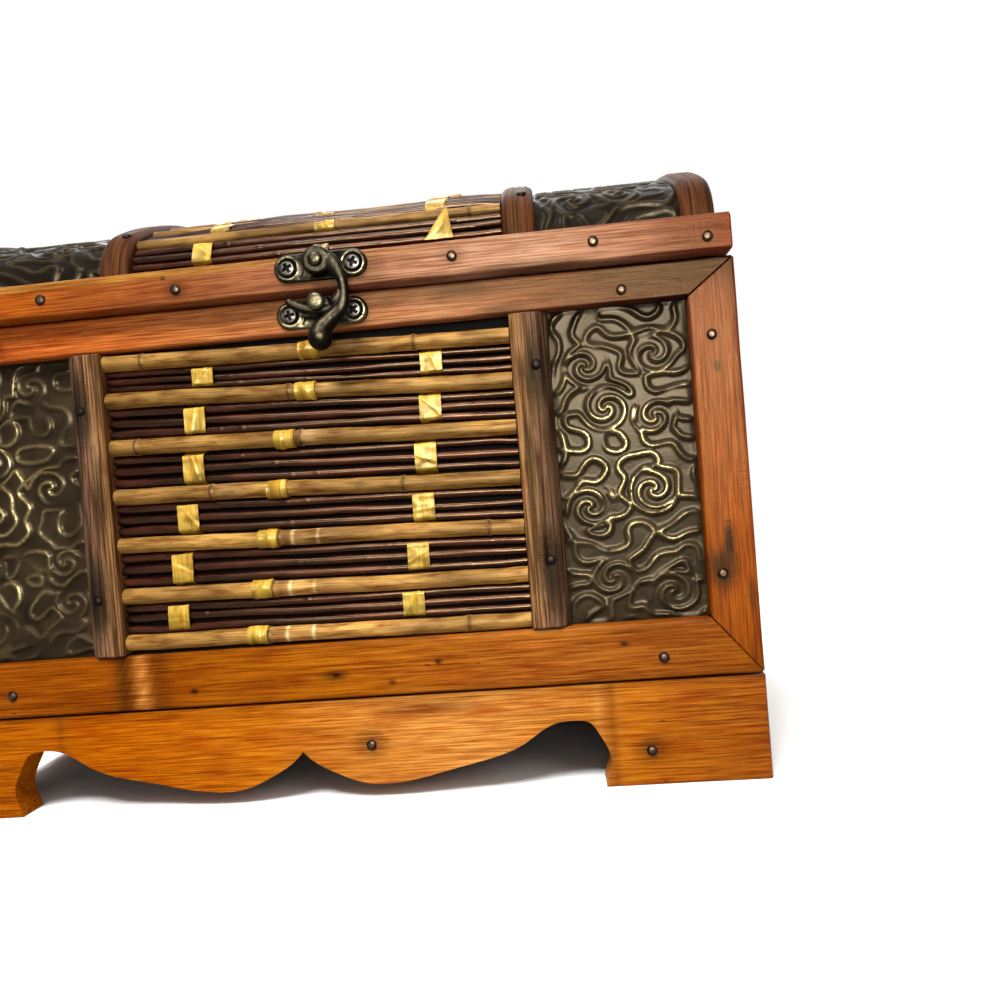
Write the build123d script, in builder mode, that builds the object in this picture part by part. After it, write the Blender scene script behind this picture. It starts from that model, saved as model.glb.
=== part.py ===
from build123d import *
import math
import os

os.makedirs("parts", exist_ok=True)

# Sizes in mm. X runs along the front, -Y is the front, +Z is up and the feet stand on Z = 0.
box_length = 252.0
box_depth = 152.0
rim_height = 148.5
skirt_height = 29.5
skirt_thick = 9.0
floor_thick = 6.0
board_thick = 6.0
frame_thick = 5.0
stile_width = 13.7
top_rail_low = 137.9
bottom_rail_low = 30.1
bottom_rail_top = 46.7
leather_thick = 1.2
arris = 0.5

batten_inner = 61.3
batten_flat = 8.2
batten_width = 11.2
batten_thick = 6.0

lid_gap = 0.3
lid_rail_height = 10.4
lid_length = 249.6
lid_front_lip = 4.6
lid_front_rail_width = 14.4
lid_side_rail_width = 12.0
dome_apex = 193.0
dome_side_radius = 18.4
dome_top_radius = 135.0
dome_turn = 30.1
dome_middle_y = 2.7
strap_width = 9.7
strap_thick = 5.0
lid_board_thick = 4.0
lid_end_board_thick = 6.0
lid_leather_top = 2.1

cane_radius = 2.3
twig_radius = 1.25
lid_cane_radius = 1.8

half_length = box_length / 2
half_depth = box_depth / 2
board_x = half_length - frame_thick
board_half_depth = half_depth - frame_thick
# The latch stands out further than the hinges, so the box sits this far back of the overall middle.
middle_y = 4.1
front_y = middle_y - half_depth
back_y = middle_y + half_depth
front_board_y = front_y + frame_thick
lid_low = rim_height + lid_gap
lid_rail_top = lid_low + lid_rail_height

# One upright plane per side, lying on the outer face of the wall boards, with its own Y axis up.
side_planes = {
    "front": Plane(origin=(0, front_board_y, 0), x_dir=(1, 0, 0), z_dir=(0, -1, 0)),
    "back": Plane(origin=(0, back_y - frame_thick, 0), x_dir=(-1, 0, 0), z_dir=(0, 1, 0)),
    "right": Plane(origin=(board_x, middle_y, 0), x_dir=(0, 1, 0), z_dir=(1, 0, 0)),
    "left": Plane(origin=(-board_x, middle_y, 0), x_dir=(0, -1, 0), z_dir=(-1, 0, 0)),
}
# The front and back frames run past the corners and the side frames fit between them.
frame_half = {"front": half_length, "back": half_length, "right": board_half_depth, "left": board_half_depth}
side_board_half = board_half_depth - board_thick
board_half = {"front": board_x, "back": board_x, "right": side_board_half, "left": side_board_half}


# ---- Box floor, wall boards and scalloped base ----

with BuildPart() as floor_panel:
    with BuildSketch(Plane.XY.offset(skirt_height)):
        with Locations((0, middle_y)):
            Rectangle(2 * board_x, 2 * board_half_depth)
    extrude(amount=floor_thick)
floor_panel.part.label = "floor_panel"
export_step(floor_panel.part, "parts/floor_panel.step")

for side, plane in side_planes.items():
    with BuildPart() as wall_board:
        wall_low = skirt_height + floor_thick
        with BuildSketch(plane):
            with Locations((0, (wall_low + rim_height) / 2)):
                Rectangle(2 * board_half[side], rim_height - wall_low)
        extrude(amount=-board_thick)
    wall_board.part.label = f"{side}_wall_board"
    export_step(wall_board.part, f"parts/{side}_wall_board.step")


def scallop_half(middle, direction, stretch):
    # Ogee from the inner corner of a foot over the arch, down round a lobe and up to the middle cusp.
    def at(x, z):
        return (middle + direction * stretch * x, z)

    inward = (-direction, 0)
    Spline(at(88.5, 0), at(90.4, 8), at(86.8, 16.4), at(79.5, 19.6), tangents=[(direction * 0.2, 1), inward])
    Spline(at(79.5, 19.6), at(66.0, 13.8), at(46.5, 8.0), at(23.5, 4.2), tangents=[inward, inward])
    Spline(at(23.5, 4.2), at(9.5, 8.2), at(0, 15.2), tangents=[inward, (-direction * 0.55, 0.8)])
    return at(88.5, 0)


def scalloped_skirt(plane, half, middle, stretch):
    with BuildPart() as skirt:
        with BuildSketch(plane):
            with BuildLine():
                right_foot = scallop_half(middle, 1, stretch)
                left_foot = scallop_half(middle, -1, stretch)
                top_corners = [(-half, skirt_height), (half, skirt_height)]
                Polyline(left_foot, (-half, 0), *top_corners, (half, 0), right_foot)
            make_face()
        extrude(amount=-skirt_thick)
        outer_face = skirt.faces().filter_by(lambda face: face.normal_at().dot(plane.z_dir) > 0.999)
        chamfer(outer_face.edges().filter_by(Axis.Z), arris)
    return skirt


# The scallop of the long skirts sits a little left of the middle, so one foot is wider than the other.
skirt_layout = {
    "front": (half_length, -9.5, 1.0),
    "back": (half_length, 9.5, 1.0),
    "right": (half_depth - skirt_thick, 0.0, 0.55),
    "left": (half_depth - skirt_thick, 0.0, 0.55),
}
for side, (half, middle, stretch) in skirt_layout.items():
    skirt = scalloped_skirt(side_planes[side].offset(frame_thick), half, middle, stretch)
    skirt.part.label = f"{side}_skirt"
    export_step(skirt.part, f"parts/{side}_skirt.step")


# ---- Mitred frames on the four walls ----


def frame_sticks(plane, outlines):
    # Flat sticks of a frame, their outer arrises eased.
    with BuildPart() as sticks:
        for corners in outlines:
            with BuildSketch(plane):
                with BuildLine():
                    Polyline(*corners, close=True)
                make_face()
            extrude(amount=frame_thick)
        outer_faces = sticks.faces().filter_by(lambda face: face.normal_at().dot(plane.z_dir) > 0.999)
        chamfer(outer_faces.edges(), arris)
    return sticks


for side, plane in side_planes.items():
    out_x = frame_half[side]
    in_x = out_x - stile_width
    top_rail = [(-out_x, rim_height), (out_x, rim_height), (in_x, top_rail_low), (-in_x, top_rail_low)]
    bottom_rail = [
        (-out_x, bottom_rail_low),
        (out_x, bottom_rail_low),
        (in_x, bottom_rail_top),
        (-in_x, bottom_rail_top),
    ]
    right_stile = [
        (out_x, bottom_rail_low),
        (in_x, bottom_rail_top),
        (in_x, top_rail_low),
        (out_x, rim_height),
    ]
    left_stile = [(-x, z) for x, z in right_stile]
    frame_outlines = {
        "top_rail": [top_rail],
        "bottom_rail": [bottom_rail],
        "stiles": [left_stile, right_stile],
    }
    for name, outlines in frame_outlines.items():
        sticks = frame_sticks(plane, outlines)
        sticks.part.label = f"{side}_{name}"
        export_step(sticks.part, f"parts/{side}_{name}.step")


# ---- Embossed leather panels inside the frames ----


def leather_panel(plane, low_x, high_x):
    with BuildPart() as panel:
        with BuildSketch(plane):
            with Locations(((low_x + high_x) / 2, (bottom_rail_top + top_rail_low) / 2)):
                Rectangle(high_x - low_x, top_rail_low - bottom_rail_top)
        extrude(amount=leather_thick)
    return panel


front_window = half_length - stile_width
side_window = board_half_depth - stile_width
batten_outer = batten_inner + batten_width
leather_layout = {
    "front_left_leather": ("front", -front_window, -batten_outer),
    "front_right_leather": ("front", batten_outer, front_window),
    "back_leather": ("back", -front_window, front_window),
    "left_leather": ("left", -side_window, side_window),
    "right_leather": ("right", -side_window, side_window),
}
for name, (side, low_x, high_x) in leather_layout.items():
    panel = leather_panel(side_planes[side], low_x, high_x)
    panel.part.label = name
    export_step(panel.part, f"parts/{name}.step")


# ---- Cane and twig mat between two battens ----

with BuildPart() as front_battens:
    with BuildSketch(Plane.XY.offset(bottom_rail_top + 0.1)):
        with BuildLine():
            Polyline(
                (batten_inner, front_board_y),
                (batten_inner, front_board_y - batten_thick),
                (batten_inner + batten_flat, front_board_y - batten_thick),
                (batten_outer, front_board_y - batten_thick + 3.0),
                (batten_outer, front_board_y),
                close=True,
            )
        make_face()
        mirror(about=Plane.YZ)
    extrude(amount=top_rail_low - bottom_rail_top - 0.2)
front_battens.part.label = "front_battens"
export_step(front_battens.part, "parts/front_battens.step")

# Height of each cane where it leaves the left batten and where it meets the right one.
cane_heights = [
    (134.9, 132.1),
    (123.6, 119.3),
    (109.4, 105.6),
    (94.6, 90.9),
    (79.9, 76.5),
    (64.4, 62.6),
    (50.4, 49.3),
]
mat_half = batten_inner - 0.2


def stick_place(y, left_z, right_z):
    # Where a straight stick that spans the mat starts and the way it points, with its length.
    left, right = Vector(-mat_half, y, left_z), Vector(mat_half, y, right_z)
    return Location(Plane(origin=left, z_dir=right - left)), (right - left).length


upright = (Align.CENTER, Align.CENTER, Align.MIN)


with BuildPart() as front_canes:
    cane_y = front_board_y - cane_radius - 0.1
    for left_z, right_z in cane_heights:
        place, length = stick_place(cane_y, left_z, right_z)
        with Locations(place):
            Cylinder(cane_radius, length, align=upright)
front_canes.part.label = "front_canes"
export_step(front_canes.part, "parts/front_canes.step")

twig_y = front_board_y - 1.9
largest_twig = 1.4
with BuildPart() as front_twigs:
    for (left_a, right_a), (left_b, right_b) in zip(cane_heights[:-1], cane_heights[1:]):
        # The three twigs of a bundle share the clear height between two canes, which narrows to one end.
        left_gap = (left_a - left_b - 2 * cane_radius) / 3
        right_gap = (right_a - right_b - 2 * cane_radius) / 3
        for place in (-1, 0, 1):
            left_z = (left_a + left_b) / 2 + place * left_gap
            right_z = (right_a + right_b) / 2 + place * right_gap
            radius = min(largest_twig, min(left_gap, right_gap) / 2 - 0.08)
            twig_place, length = stick_place(twig_y, left_z, right_z)
            with Locations(twig_place):
                Cylinder(radius, length, align=upright)
front_twigs.part.label = "front_twigs"
export_step(front_twigs.part, "parts/front_twigs.step")

straw_width = 6.4
straw_thick = 0.35
twig_tie_columns = [(-31.0, 37.8), (-34.5, 36.5), (-36.0, 34.0), (-39.0, 32.2), (-42.0, 29.5), (-44.5, 27.0)]
cane_tie_x = [2.0, 0.0, -7.5, -11.0, -15.0, -18.0, -20.5]


def cane_z(index, x):
    left_z, right_z = cane_heights[index]
    return left_z + (right_z - left_z) * (x + mat_half) / (2 * mat_half)


with BuildPart() as front_ties:
    for index, columns in enumerate(twig_tie_columns):
        for x in columns:
            upper, lower = cane_z(index, x), cane_z(index + 1, x)
            tie_height = upper - lower - 2 * cane_radius - 0.4
            with Locations((x, twig_y - 1.75, (upper + lower) / 2)):
                Box(straw_width, straw_thick, tie_height)
    for index, x in enumerate(cane_tie_x):
        with BuildSketch(Plane.YZ.offset(x)):
            with Locations((cane_y, cane_z(index, x))):
                Circle(cane_radius + 0.1 + straw_thick)
                Circle(cane_radius + 0.1, mode=Mode.SUBTRACT)
                with Locations((cane_radius - 1.2, 0)):
                    Rectangle(2 * cane_radius, 3 * cane_radius, mode=Mode.SUBTRACT)
        extrude(amount=straw_width / 2 - 0.7, both=True)
front_ties.part.label = "front_ties"
export_step(front_ties.part, "parts/front_ties.step")


# ---- Lid: rails, end boards and the domed top ----

front_rail_y = front_y - lid_front_lip
lid_half = lid_length / 2
lid_inner_front = front_rail_y + lid_front_rail_width
lid_inner_back = 2 * middle_y - lid_inner_front
rail_middle_z = lid_low + lid_rail_height / 2


def lid_rails(corners, long_way):
    with BuildPart() as rails:
        for low, high in corners:
            with BuildSketch(Plane.XY.offset(lid_low)):
                with Locations(((low[0] + high[0]) / 2, (low[1] + high[1]) / 2)):
                    Rectangle(high[0] - low[0], high[1] - low[1])
            extrude(amount=lid_rail_height)
        chamfer(rails.edges().filter_by(long_way), arris)
    return rails


side_rail_x = lid_half - lid_side_rail_width
lid_rail_layout = {
    "lid_front_rail": ([((-lid_half, front_rail_y), (lid_half, lid_inner_front))], Axis.X),
    "lid_back_rail": ([((-lid_half, lid_inner_back), (lid_half, back_y))], Axis.X),
    "lid_side_rails": (
        [
            ((-lid_half, lid_inner_front), (-side_rail_x, lid_inner_back)),
            ((side_rail_x, lid_inner_front), (lid_half, lid_inner_back)),
        ],
        Axis.Y,
    ),
}
for name, (corners, long_way) in lid_rail_layout.items():
    rails = lid_rails(corners, long_way)
    rails.part.label = name
    export_step(rails.part, f"parts/{name}.step")

# The dome is a wide flat arc running tangent into a tighter arc down to each rail.
turn = math.radians(dome_turn)
dome_centre_z = dome_apex - dome_top_radius
side_centre_y = (dome_top_radius - dome_side_radius) * math.sin(turn)
side_centre_z = dome_centre_z + (dome_top_radius - dome_side_radius) * math.cos(turn)


def dome_point(depth, angle):
    # Point at a depth below the strap tops, its angle from upright measured at the arc's own centre.
    if abs(angle) <= turn:
        radius = dome_top_radius - depth
        return (dome_middle_y + radius * math.sin(angle), dome_centre_z + radius * math.cos(angle))
    radius = dome_side_radius - depth
    out = dome_middle_y + math.copysign(side_centre_y, angle)
    return (out + radius * math.sin(angle), side_centre_z + radius * math.cos(angle))


def foot_angle(depth):
    return math.acos((lid_rail_top - side_centre_z) / (dome_side_radius - depth))


def dome_outline(depth):
    # Closed outline of the dome at a depth below the strap tops, standing on the rails.
    foot = foot_angle(depth)
    middle = (foot + turn) / 2
    with BuildLine(mode=Mode.PRIVATE) as outline:
        ThreePointArc(dome_point(depth, -foot), dome_point(depth, -middle), dome_point(depth, -turn))
        ThreePointArc(dome_point(depth, -turn), dome_point(depth, 0), dome_point(depth, turn))
        ThreePointArc(dome_point(depth, turn), dome_point(depth, middle), dome_point(depth, foot))
        Line(dome_point(depth, foot), dome_point(depth, -foot))
    return outline.edges()


end_board_x = board_x - 0.5
lid_inside = strap_thick + lid_board_thick
with BuildPart() as lid_top_board:
    with BuildSketch(Plane.YZ):
        make_face(dome_outline(strap_thick))
    extrude(amount=end_board_x, both=True)
    with BuildSketch(Plane.YZ):
        make_face(dome_outline(lid_inside))
    extrude(amount=end_board_x, both=True, mode=Mode.SUBTRACT)
lid_top_board.part.label = "lid_top_board"
export_step(lid_top_board.part, "parts/lid_top_board.step")

with BuildPart() as lid_end_boards:
    for start_x in (-end_board_x, end_board_x - lid_end_board_thick):
        with BuildSketch(Plane.YZ.offset(start_x)):
            make_face(dome_outline(lid_inside))
        extrude(amount=lid_end_board_thick)
lid_end_boards.part.label = "lid_end_boards"
export_step(lid_end_boards.part, "parts/lid_end_boards.step")

with BuildPart() as lid_end_leathers:
    for start_x in (-end_board_x - 1.0, end_board_x):
        with BuildSketch(Plane.YZ.offset(start_x)):
            make_face(dome_outline(strap_thick))
        extrude(amount=1.0)
lid_end_leathers.part.label = "lid_end_leathers"
export_step(lid_end_leathers.part, "parts/lid_end_leathers.step")

strap_starts = {
    "lid_left_end_strap": -board_x - 0.7,
    "lid_left_inner_strap": -58.7,
    "lid_right_inner_strap": 61.5,
    "lid_right_end_strap": board_x + 0.7 - strap_width,
}
# The end straps are 1 mm thinner than the inner ones.
end_strap_drop = 1.0
for name, start_x in strap_starts.items():
    with BuildPart() as strap:
        with BuildSketch(Plane.YZ.offset(start_x)):
            make_face(dome_outline(end_strap_drop if "end" in name else 0))
        extrude(amount=strap_width)
        outer_arcs = strap.edges().filter_by(GeomType.CIRCLE)
        chamfer(outer_arcs, 1.3)
        with BuildSketch(Plane.YZ.offset(start_x)):
            make_face(dome_outline(strap_thick))
        extrude(amount=strap_width, mode=Mode.SUBTRACT)
    strap.part.label = name
    export_step(strap.part, f"parts/{name}.step")

lid_leather_spans = [
    (strap_starts["lid_left_end_strap"] + strap_width, strap_starts["lid_left_inner_strap"]),
    (strap_starts["lid_right_inner_strap"] + strap_width, strap_starts["lid_right_end_strap"]),
]
with BuildPart() as lid_leathers:
    for low_x, high_x in lid_leather_spans:
        with BuildSketch(Plane.YZ.offset(low_x)):
            make_face(dome_outline(strap_thick - lid_leather_top))
        extrude(amount=high_x - low_x)
        with BuildSketch(Plane.YZ.offset(low_x)):
            make_face(dome_outline(strap_thick))
        extrude(amount=high_x - low_x, mode=Mode.SUBTRACT)
lid_leathers.part.label = "lid_leathers"
export_step(lid_leathers.part, "parts/lid_leathers.step")


# ---- Lid mat: canes with twigs between them, following the dome from front to back ----

mat_low_x = strap_starts["lid_left_inner_strap"] + strap_width + 0.2
mat_high_x = strap_starts["lid_right_inner_strap"] - 0.2
stick_depth = strap_thick - lid_cane_radius - 0.05
side_arc = (foot_angle(stick_depth) - turn) * (dome_side_radius - stick_depth)
top_arc = 2 * turn * (dome_top_radius - stick_depth)
# A group of three twigs lies next to each rail, and one between each two canes.
cane_first = 11.7
lid_cane_count = 13
lid_pitch = (2 * side_arc + top_arc - 2 * cane_first) / (lid_cane_count - 1)


def dome_angle(way):
    # Angle reached after going this far round the dome from the front rail.
    if way < side_arc:
        return -foot_angle(stick_depth) + way / (dome_side_radius - stick_depth)
    if way < side_arc + top_arc:
        return -turn + (way - side_arc) / (dome_top_radius - stick_depth)
    return turn + (way - side_arc - top_arc) / (dome_side_radius - stick_depth)


lid_cane_ways = [cane_first + index * lid_pitch for index in range(lid_cane_count)]
twig_group_ways = [way - lid_pitch / 2 for way in lid_cane_ways] + [lid_cane_ways[-1] + lid_pitch / 2]
lid_twig_ways = [way + step * lid_pitch for way in twig_group_ways for step in (-0.23, 0, 0.23)]

with BuildPart() as lid_canes:
    with BuildSketch(Plane.YZ.offset(mat_low_x)):
        with Locations(*[dome_point(stick_depth, dome_angle(way)) for way in lid_cane_ways]):
            Circle(lid_cane_radius)
    extrude(amount=mat_high_x - mat_low_x)
lid_canes.part.label = "lid_canes"
export_step(lid_canes.part, "parts/lid_canes.step")

twig_depth = strap_thick - twig_radius - 0.25
with BuildPart() as lid_twigs:
    with BuildSketch(Plane.YZ.offset(mat_low_x)):
        with Locations(*[dome_point(twig_depth, dome_angle(way)) for way in lid_twig_ways]):
            Circle(twig_radius)
    extrude(amount=mat_high_x - mat_low_x)
lid_twigs.part.label = "lid_twigs"
export_step(lid_twigs.part, "parts/lid_twigs.step")

with BuildPart() as lid_ties:
    for index, way in enumerate(twig_group_ways):
        angle = dome_angle(way)
        y, z = dome_point(strap_thick - 2 * twig_radius - 0.55, angle)
        for x in (-27.5 + 3 * (index % 2), 45.0 - 1.5 * (index % 3)):
            with Locations(Location((x, y, z), (-math.degrees(angle), 0, 0))):
                Box(straw_width, 7.6, straw_thick)
lid_ties.part.label = "lid_ties"
export_step(lid_ties.part, "parts/lid_ties.step")


# ---- Round nail heads ----

with BuildPart() as nail_head:
    Cone(1.3, 0.7, 0.8, align=upright)

rail_nails = [(94, 141.5), (-94, 141.5), (98, 36.3), (-98, 37)]
stile_nails = [(118.2, 126.6), (116.3, 59), (-117.5, 124), (-117, 61)]
skirt_nails = [(11.3, 16), (92.5, 9.8), (-112, 13)]
batten_nails = [(68.3, 122.5), (68.0, 66.5), (-68.3, 121), (-68.0, 64)]
nail_layout = [(frame_thick, rail_nails + stile_nails + skirt_nails), (batten_thick, batten_nails)]

with BuildPart() as body_nails:
    for thick, places in nail_layout:
        for x, z in places:
            seat = (x, front_board_y - thick - 0.02, z)
            with Locations(Location(Plane(origin=seat, x_dir=(1, 0, 0), z_dir=(0, -1, 0)))):
                add(nail_head.part)
body_nails.part.label = "body_nails"
export_step(body_nails.part, "parts/body_nails.step")

lid_rail_nails = [(-34, 153.0), (47, 154.5), (86.7, 154.5), (118, 152.7), (-75, 154), (-117, 153.5)]
inner_strap_nails = [-37, -8, 37]
end_strap_nails = [-12, 20]
with BuildPart() as lid_nails:
    for x, z in lid_rail_nails:
        seat = (x, front_rail_y - 0.02, z)
        with Locations(Location(Plane(origin=seat, x_dir=(1, 0, 0), z_dir=(0, -1, 0)))):
            add(nail_head.part)
    for name, start_x in strap_starts.items():
        at_end = "end" in name
        for degrees in end_strap_nails if at_end else inner_strap_nails:
            angle = math.radians(degrees)
            y, z = dome_point(end_strap_drop - 0.02 if at_end else -0.02, angle)
            seat = (start_x + strap_width / 2 + 1.5, y, z)
            outward = (0, math.sin(angle), math.cos(angle))
            with Locations(Location(Plane(origin=seat, x_dir=(1, 0, 0), z_dir=outward))):
                add(nail_head.part)
lid_nails.part.label = "lid_nails"
export_step(lid_nails.part, "parts/lid_nails.step")


# ---- Swing-hook latch ----

plate_height = 8.2
plate_thick = 1.4
screw_spacing = 19.0
screw_head_radius = 1.9
upper_plane = Plane(origin=(9.3, front_rail_y, 155.4), x_dir=(1, 0, 0), z_dir=(0, -1, 0))
lower_plane = Plane(origin=(7.4, front_y, 143.1), x_dir=(1, 0, 0), z_dir=(0, -1, 0))
pivot = (8.9, 156.4)
post = (8.3, 144.4)


def latch_plate(plane, thick):
    # Oblong plate with a dished middle between two raised pads that carry the screws.
    with BuildPart() as plate:
        with BuildSketch(plane):
            SlotCenterToCenter(screw_spacing, plate_height)
        extrude(amount=thick)
        with BuildSketch(plane.offset(thick)):
            Rectangle(screw_spacing, plate_height + 1)
            with Locations((-screw_spacing / 2, 0), (screw_spacing / 2, 0)):
                Circle(5.6, mode=Mode.SUBTRACT)
        extrude(amount=-0.5, mode=Mode.SUBTRACT)
        with BuildSketch(plane):
            with Locations((-screw_spacing / 2, 0), (screw_spacing / 2, 0)):
                Circle(screw_head_radius + 0.1)
        extrude(amount=thick, mode=Mode.SUBTRACT)
    return plate


upper_latch_plate = latch_plate(upper_plane, 1.2)
upper_latch_plate.part.label = "upper_latch_plate"
export_step(upper_latch_plate.part, "parts/upper_latch_plate.step")

keeper_plate = latch_plate(lower_plane, plate_thick)
keeper_plate.part.label = "keeper_plate"
export_step(keeper_plate.part, "parts/keeper_plate.step")


def cross_screws(plane, places, radius, proud):
    # Flat screw heads, each with a cross recess.
    with BuildPart() as screws:
        with BuildSketch(plane):
            with Locations(*places):
                Circle(radius)
        extrude(amount=proud)
        with BuildSketch(plane.offset(proud)):
            with Locations(*places):
                Rectangle(2.2, 0.55)
                Rectangle(0.55, 2.2)
        extrude(amount=-0.5, mode=Mode.SUBTRACT)
    return screws


plate_screws = [(-screw_spacing / 2, 0), (screw_spacing / 2, 0)]
upper_latch_screws = cross_screws(upper_plane, plate_screws, screw_head_radius, 1.2)
upper_latch_screws.part.label = "upper_latch_screws"
export_step(upper_latch_screws.part, "parts/upper_latch_screws.step")

keeper_screws = cross_screws(lower_plane, plate_screws, screw_head_radius, plate_thick)
keeper_screws.part.label = "keeper_screws"
export_step(keeper_screws.part, "parts/keeper_screws.step")

# Depths in front of the box, from the keeper plate outwards.
eye_back = front_rail_y - 1.7
eye_front = eye_back - 1.9
finger_y = front_rail_y - 2.65
neck_radius = 0.8
finger_radius = 1.0
pivot_radius = 1.2

with BuildPart() as latch_post:
    keeper_middle = front_y - plate_thick + 0.5
    front_plane = Plane(origin=(post[0], keeper_middle, post[1]), x_dir=(1, 0, 0), z_dir=(0, -1, 0))
    head_back = finger_y - finger_radius - 0.3
    neck_length = keeper_middle - head_back
    with BuildSketch(front_plane):
        Circle(neck_radius)
    extrude(amount=neck_length)
    with Locations(Location(front_plane)):
        Cone(2.3, 1.9, 1.2, align=upright)
    with Locations(Location(front_plane.offset(neck_length))):
        Cylinder(2.6, 1.0, align=upright)
    with Locations(Location(front_plane.offset(neck_length + 1.0))):
        Cone(2.6, 1.7, 0.8, align=upright)
latch_post.part.label = "latch_post"
export_step(latch_post.part, "parts/latch_post.step")

with BuildPart() as hook_rivet:
    rivet_plane = Plane(origin=(pivot[0], front_rail_y - 0.7, pivot[1]), x_dir=(1, 0, 0), z_dir=(0, -1, 0))
    shank_length = front_rail_y - 0.7 - (eye_front - 0.3)
    with BuildSketch(rivet_plane):
        Circle(3.0)
    extrude(amount=0.7)
    with BuildSketch(rivet_plane):
        Circle(pivot_radius)
    extrude(amount=shank_length)
    with Locations(Location(rivet_plane.offset(shank_length))):
        Cone(2.1, 1.2, 1.2, align=upright)
hook_rivet.part.label = "hook_rivet"
export_step(hook_rivet.part, "parts/hook_rivet.step")

with BuildPart() as hook:
    # A bowed arm of round section runs down to a ball and hangs from a flat eye round the rivet.
    eye_plane = Plane(origin=(pivot[0], eye_back, pivot[1]), x_dir=(1, 0, 0), z_dir=(0, -1, 0))
    arm_y = front_rail_y - 2.9
    with BuildLine(Plane.XZ.offset(-arm_y)) as arm_path:
        shoulder = ThreePointArc((11.0, 157.6), (14.3, 154.6), (15.9, 149.8))
        elbow = TangentArc(shoulder @ 1, (14.3, 141.6), tangent=shoulder % 1)
        TangentArc(elbow @ 1, (9.5, 135.5), tangent=elbow % 1)
    with BuildSketch(Plane(origin=arm_path.line @ 0, z_dir=arm_path.line % 0)):
        Circle(1.25)
    sweep(path=arm_path.line)
    with Locations((8.7, front_rail_y - 4.1, 134.2)):
        Sphere(3.5, rotation=(90, 0, 0))
    # The finger is a round rod that circles the pivot and passes under the neck of the post.
    finger_reach = 14.15
    finger_turns = [math.radians(degrees) for degrees in (-64, -98, -132)]
    finger_points = [
        (pivot[0] + finger_reach * math.cos(turned), finger_y, pivot[1] + finger_reach * math.sin(turned))
        for turned in finger_turns
    ]
    with BuildLine() as finger_path:
        ThreePointArc(*finger_points)
    with BuildSketch(Plane(origin=finger_path.line @ 0, z_dir=finger_path.line % 0)):
        Circle(finger_radius)
    sweep(path=finger_path.line)
    with Locations(finger_path.line @ 1):
        Sphere(finger_radius)
    with BuildSketch(eye_plane):
        Circle(3.9)
    extrude(amount=eye_back - eye_front, taper=8)
    with BuildSketch(eye_plane.offset(-1)):
        Circle(pivot_radius + 0.05)
    extrude(amount=6, mode=Mode.SUBTRACT)
hook.part.label = "hook"
export_step(hook.part, "parts/hook.step")


# ---- Two butt hinges on the back ----

hinge_places = [-70.0, 70.0]
hinge_half = 12.0
knuckle_half = 3.85
knuckle_radius = 1.9
pin_radius = 1.0
axis_y = back_y + 2.1
axis_z = rim_height + lid_gap / 2 + 0.1
leaf_thick = 1.0


def hinge_leaves(leaf_low, leaf_high, knuckles):
    # Leaves of both hinges: a flat plate, a tongue at each knuckle, and the rolled knuckle bored for the pin.
    with BuildPart() as leaves:
        for place in hinge_places:
            with Locations((place, back_y + leaf_thick / 2, (leaf_low + leaf_high) / 2)):
                Box(2 * hinge_half, leaf_thick, leaf_high - leaf_low)
            for low_x, high_x in knuckles:
                near = leaf_high if leaf_high < axis_z else leaf_low
                with Locations((place + (low_x + high_x) / 2, back_y + leaf_thick / 2, (near + axis_z) / 2)):
                    Box(high_x - low_x, leaf_thick, abs(axis_z - near))
                with BuildSketch(Plane.YZ.offset(place + low_x)):
                    with Locations((axis_y, axis_z)):
                        Circle(knuckle_radius)
                extrude(amount=high_x - low_x)
            with BuildSketch(Plane.YZ.offset(place - hinge_half - 1)):
                with Locations((axis_y, axis_z)):
                    Circle(pin_radius + 0.05)
            extrude(amount=2 * hinge_half + 2, mode=Mode.SUBTRACT)
    return leaves


body_hinge_leaves = hinge_leaves(139.3, 146.4, [(-hinge_half, -4.0), (4.0, hinge_half)])
body_hinge_leaves.part.label = "body_hinge_leaves"
export_step(body_hinge_leaves.part, "parts/body_hinge_leaves.step")

lid_hinge_leaves = hinge_leaves(151.1, 158.2, [(-knuckle_half, knuckle_half)])
lid_hinge_leaves.part.label = "lid_hinge_leaves"
export_step(lid_hinge_leaves.part, "parts/lid_hinge_leaves.step")

with BuildPart() as hinge_pins:
    for place in hinge_places:
        with BuildSketch(Plane.YZ.offset(place - hinge_half - 0.6)):
            with Locations((axis_y, axis_z)):
                Circle(pin_radius)
        extrude(amount=2 * hinge_half + 1.2)
        for start_x in (place - hinge_half - 1.3, place + hinge_half + 0.6):
            with BuildSketch(Plane.YZ.offset(start_x)):
                with Locations((axis_y, axis_z)):
                    Circle(1.5)
            extrude(amount=0.7)
hinge_pins.part.label = "hinge_pins"
export_step(hinge_pins.part, "parts/hinge_pins.step")

leaf_face = Plane(origin=(0, back_y + leaf_thick + 0.02, 0), x_dir=(-1, 0, 0), z_dir=(0, 1, 0))
body_screw_places = [(place + step, 142.6) for place in hinge_places for step in (-7.5, 7.5)]
lid_screw_places = [(place + step, 154.9) for place in hinge_places for step in (-7.5, 7.5)]
body_hinge_screws = cross_screws(leaf_face, body_screw_places, 1.5, 0.6)
body_hinge_screws.part.label = "body_hinge_screws"
export_step(body_hinge_screws.part, "parts/body_hinge_screws.step")

lid_hinge_screws = cross_screws(leaf_face, lid_screw_places, 1.5, 0.6)
lid_hinge_screws.part.label = "lid_hinge_screws"
export_step(lid_hinge_screws.part, "parts/lid_hinge_screws.step")
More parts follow.
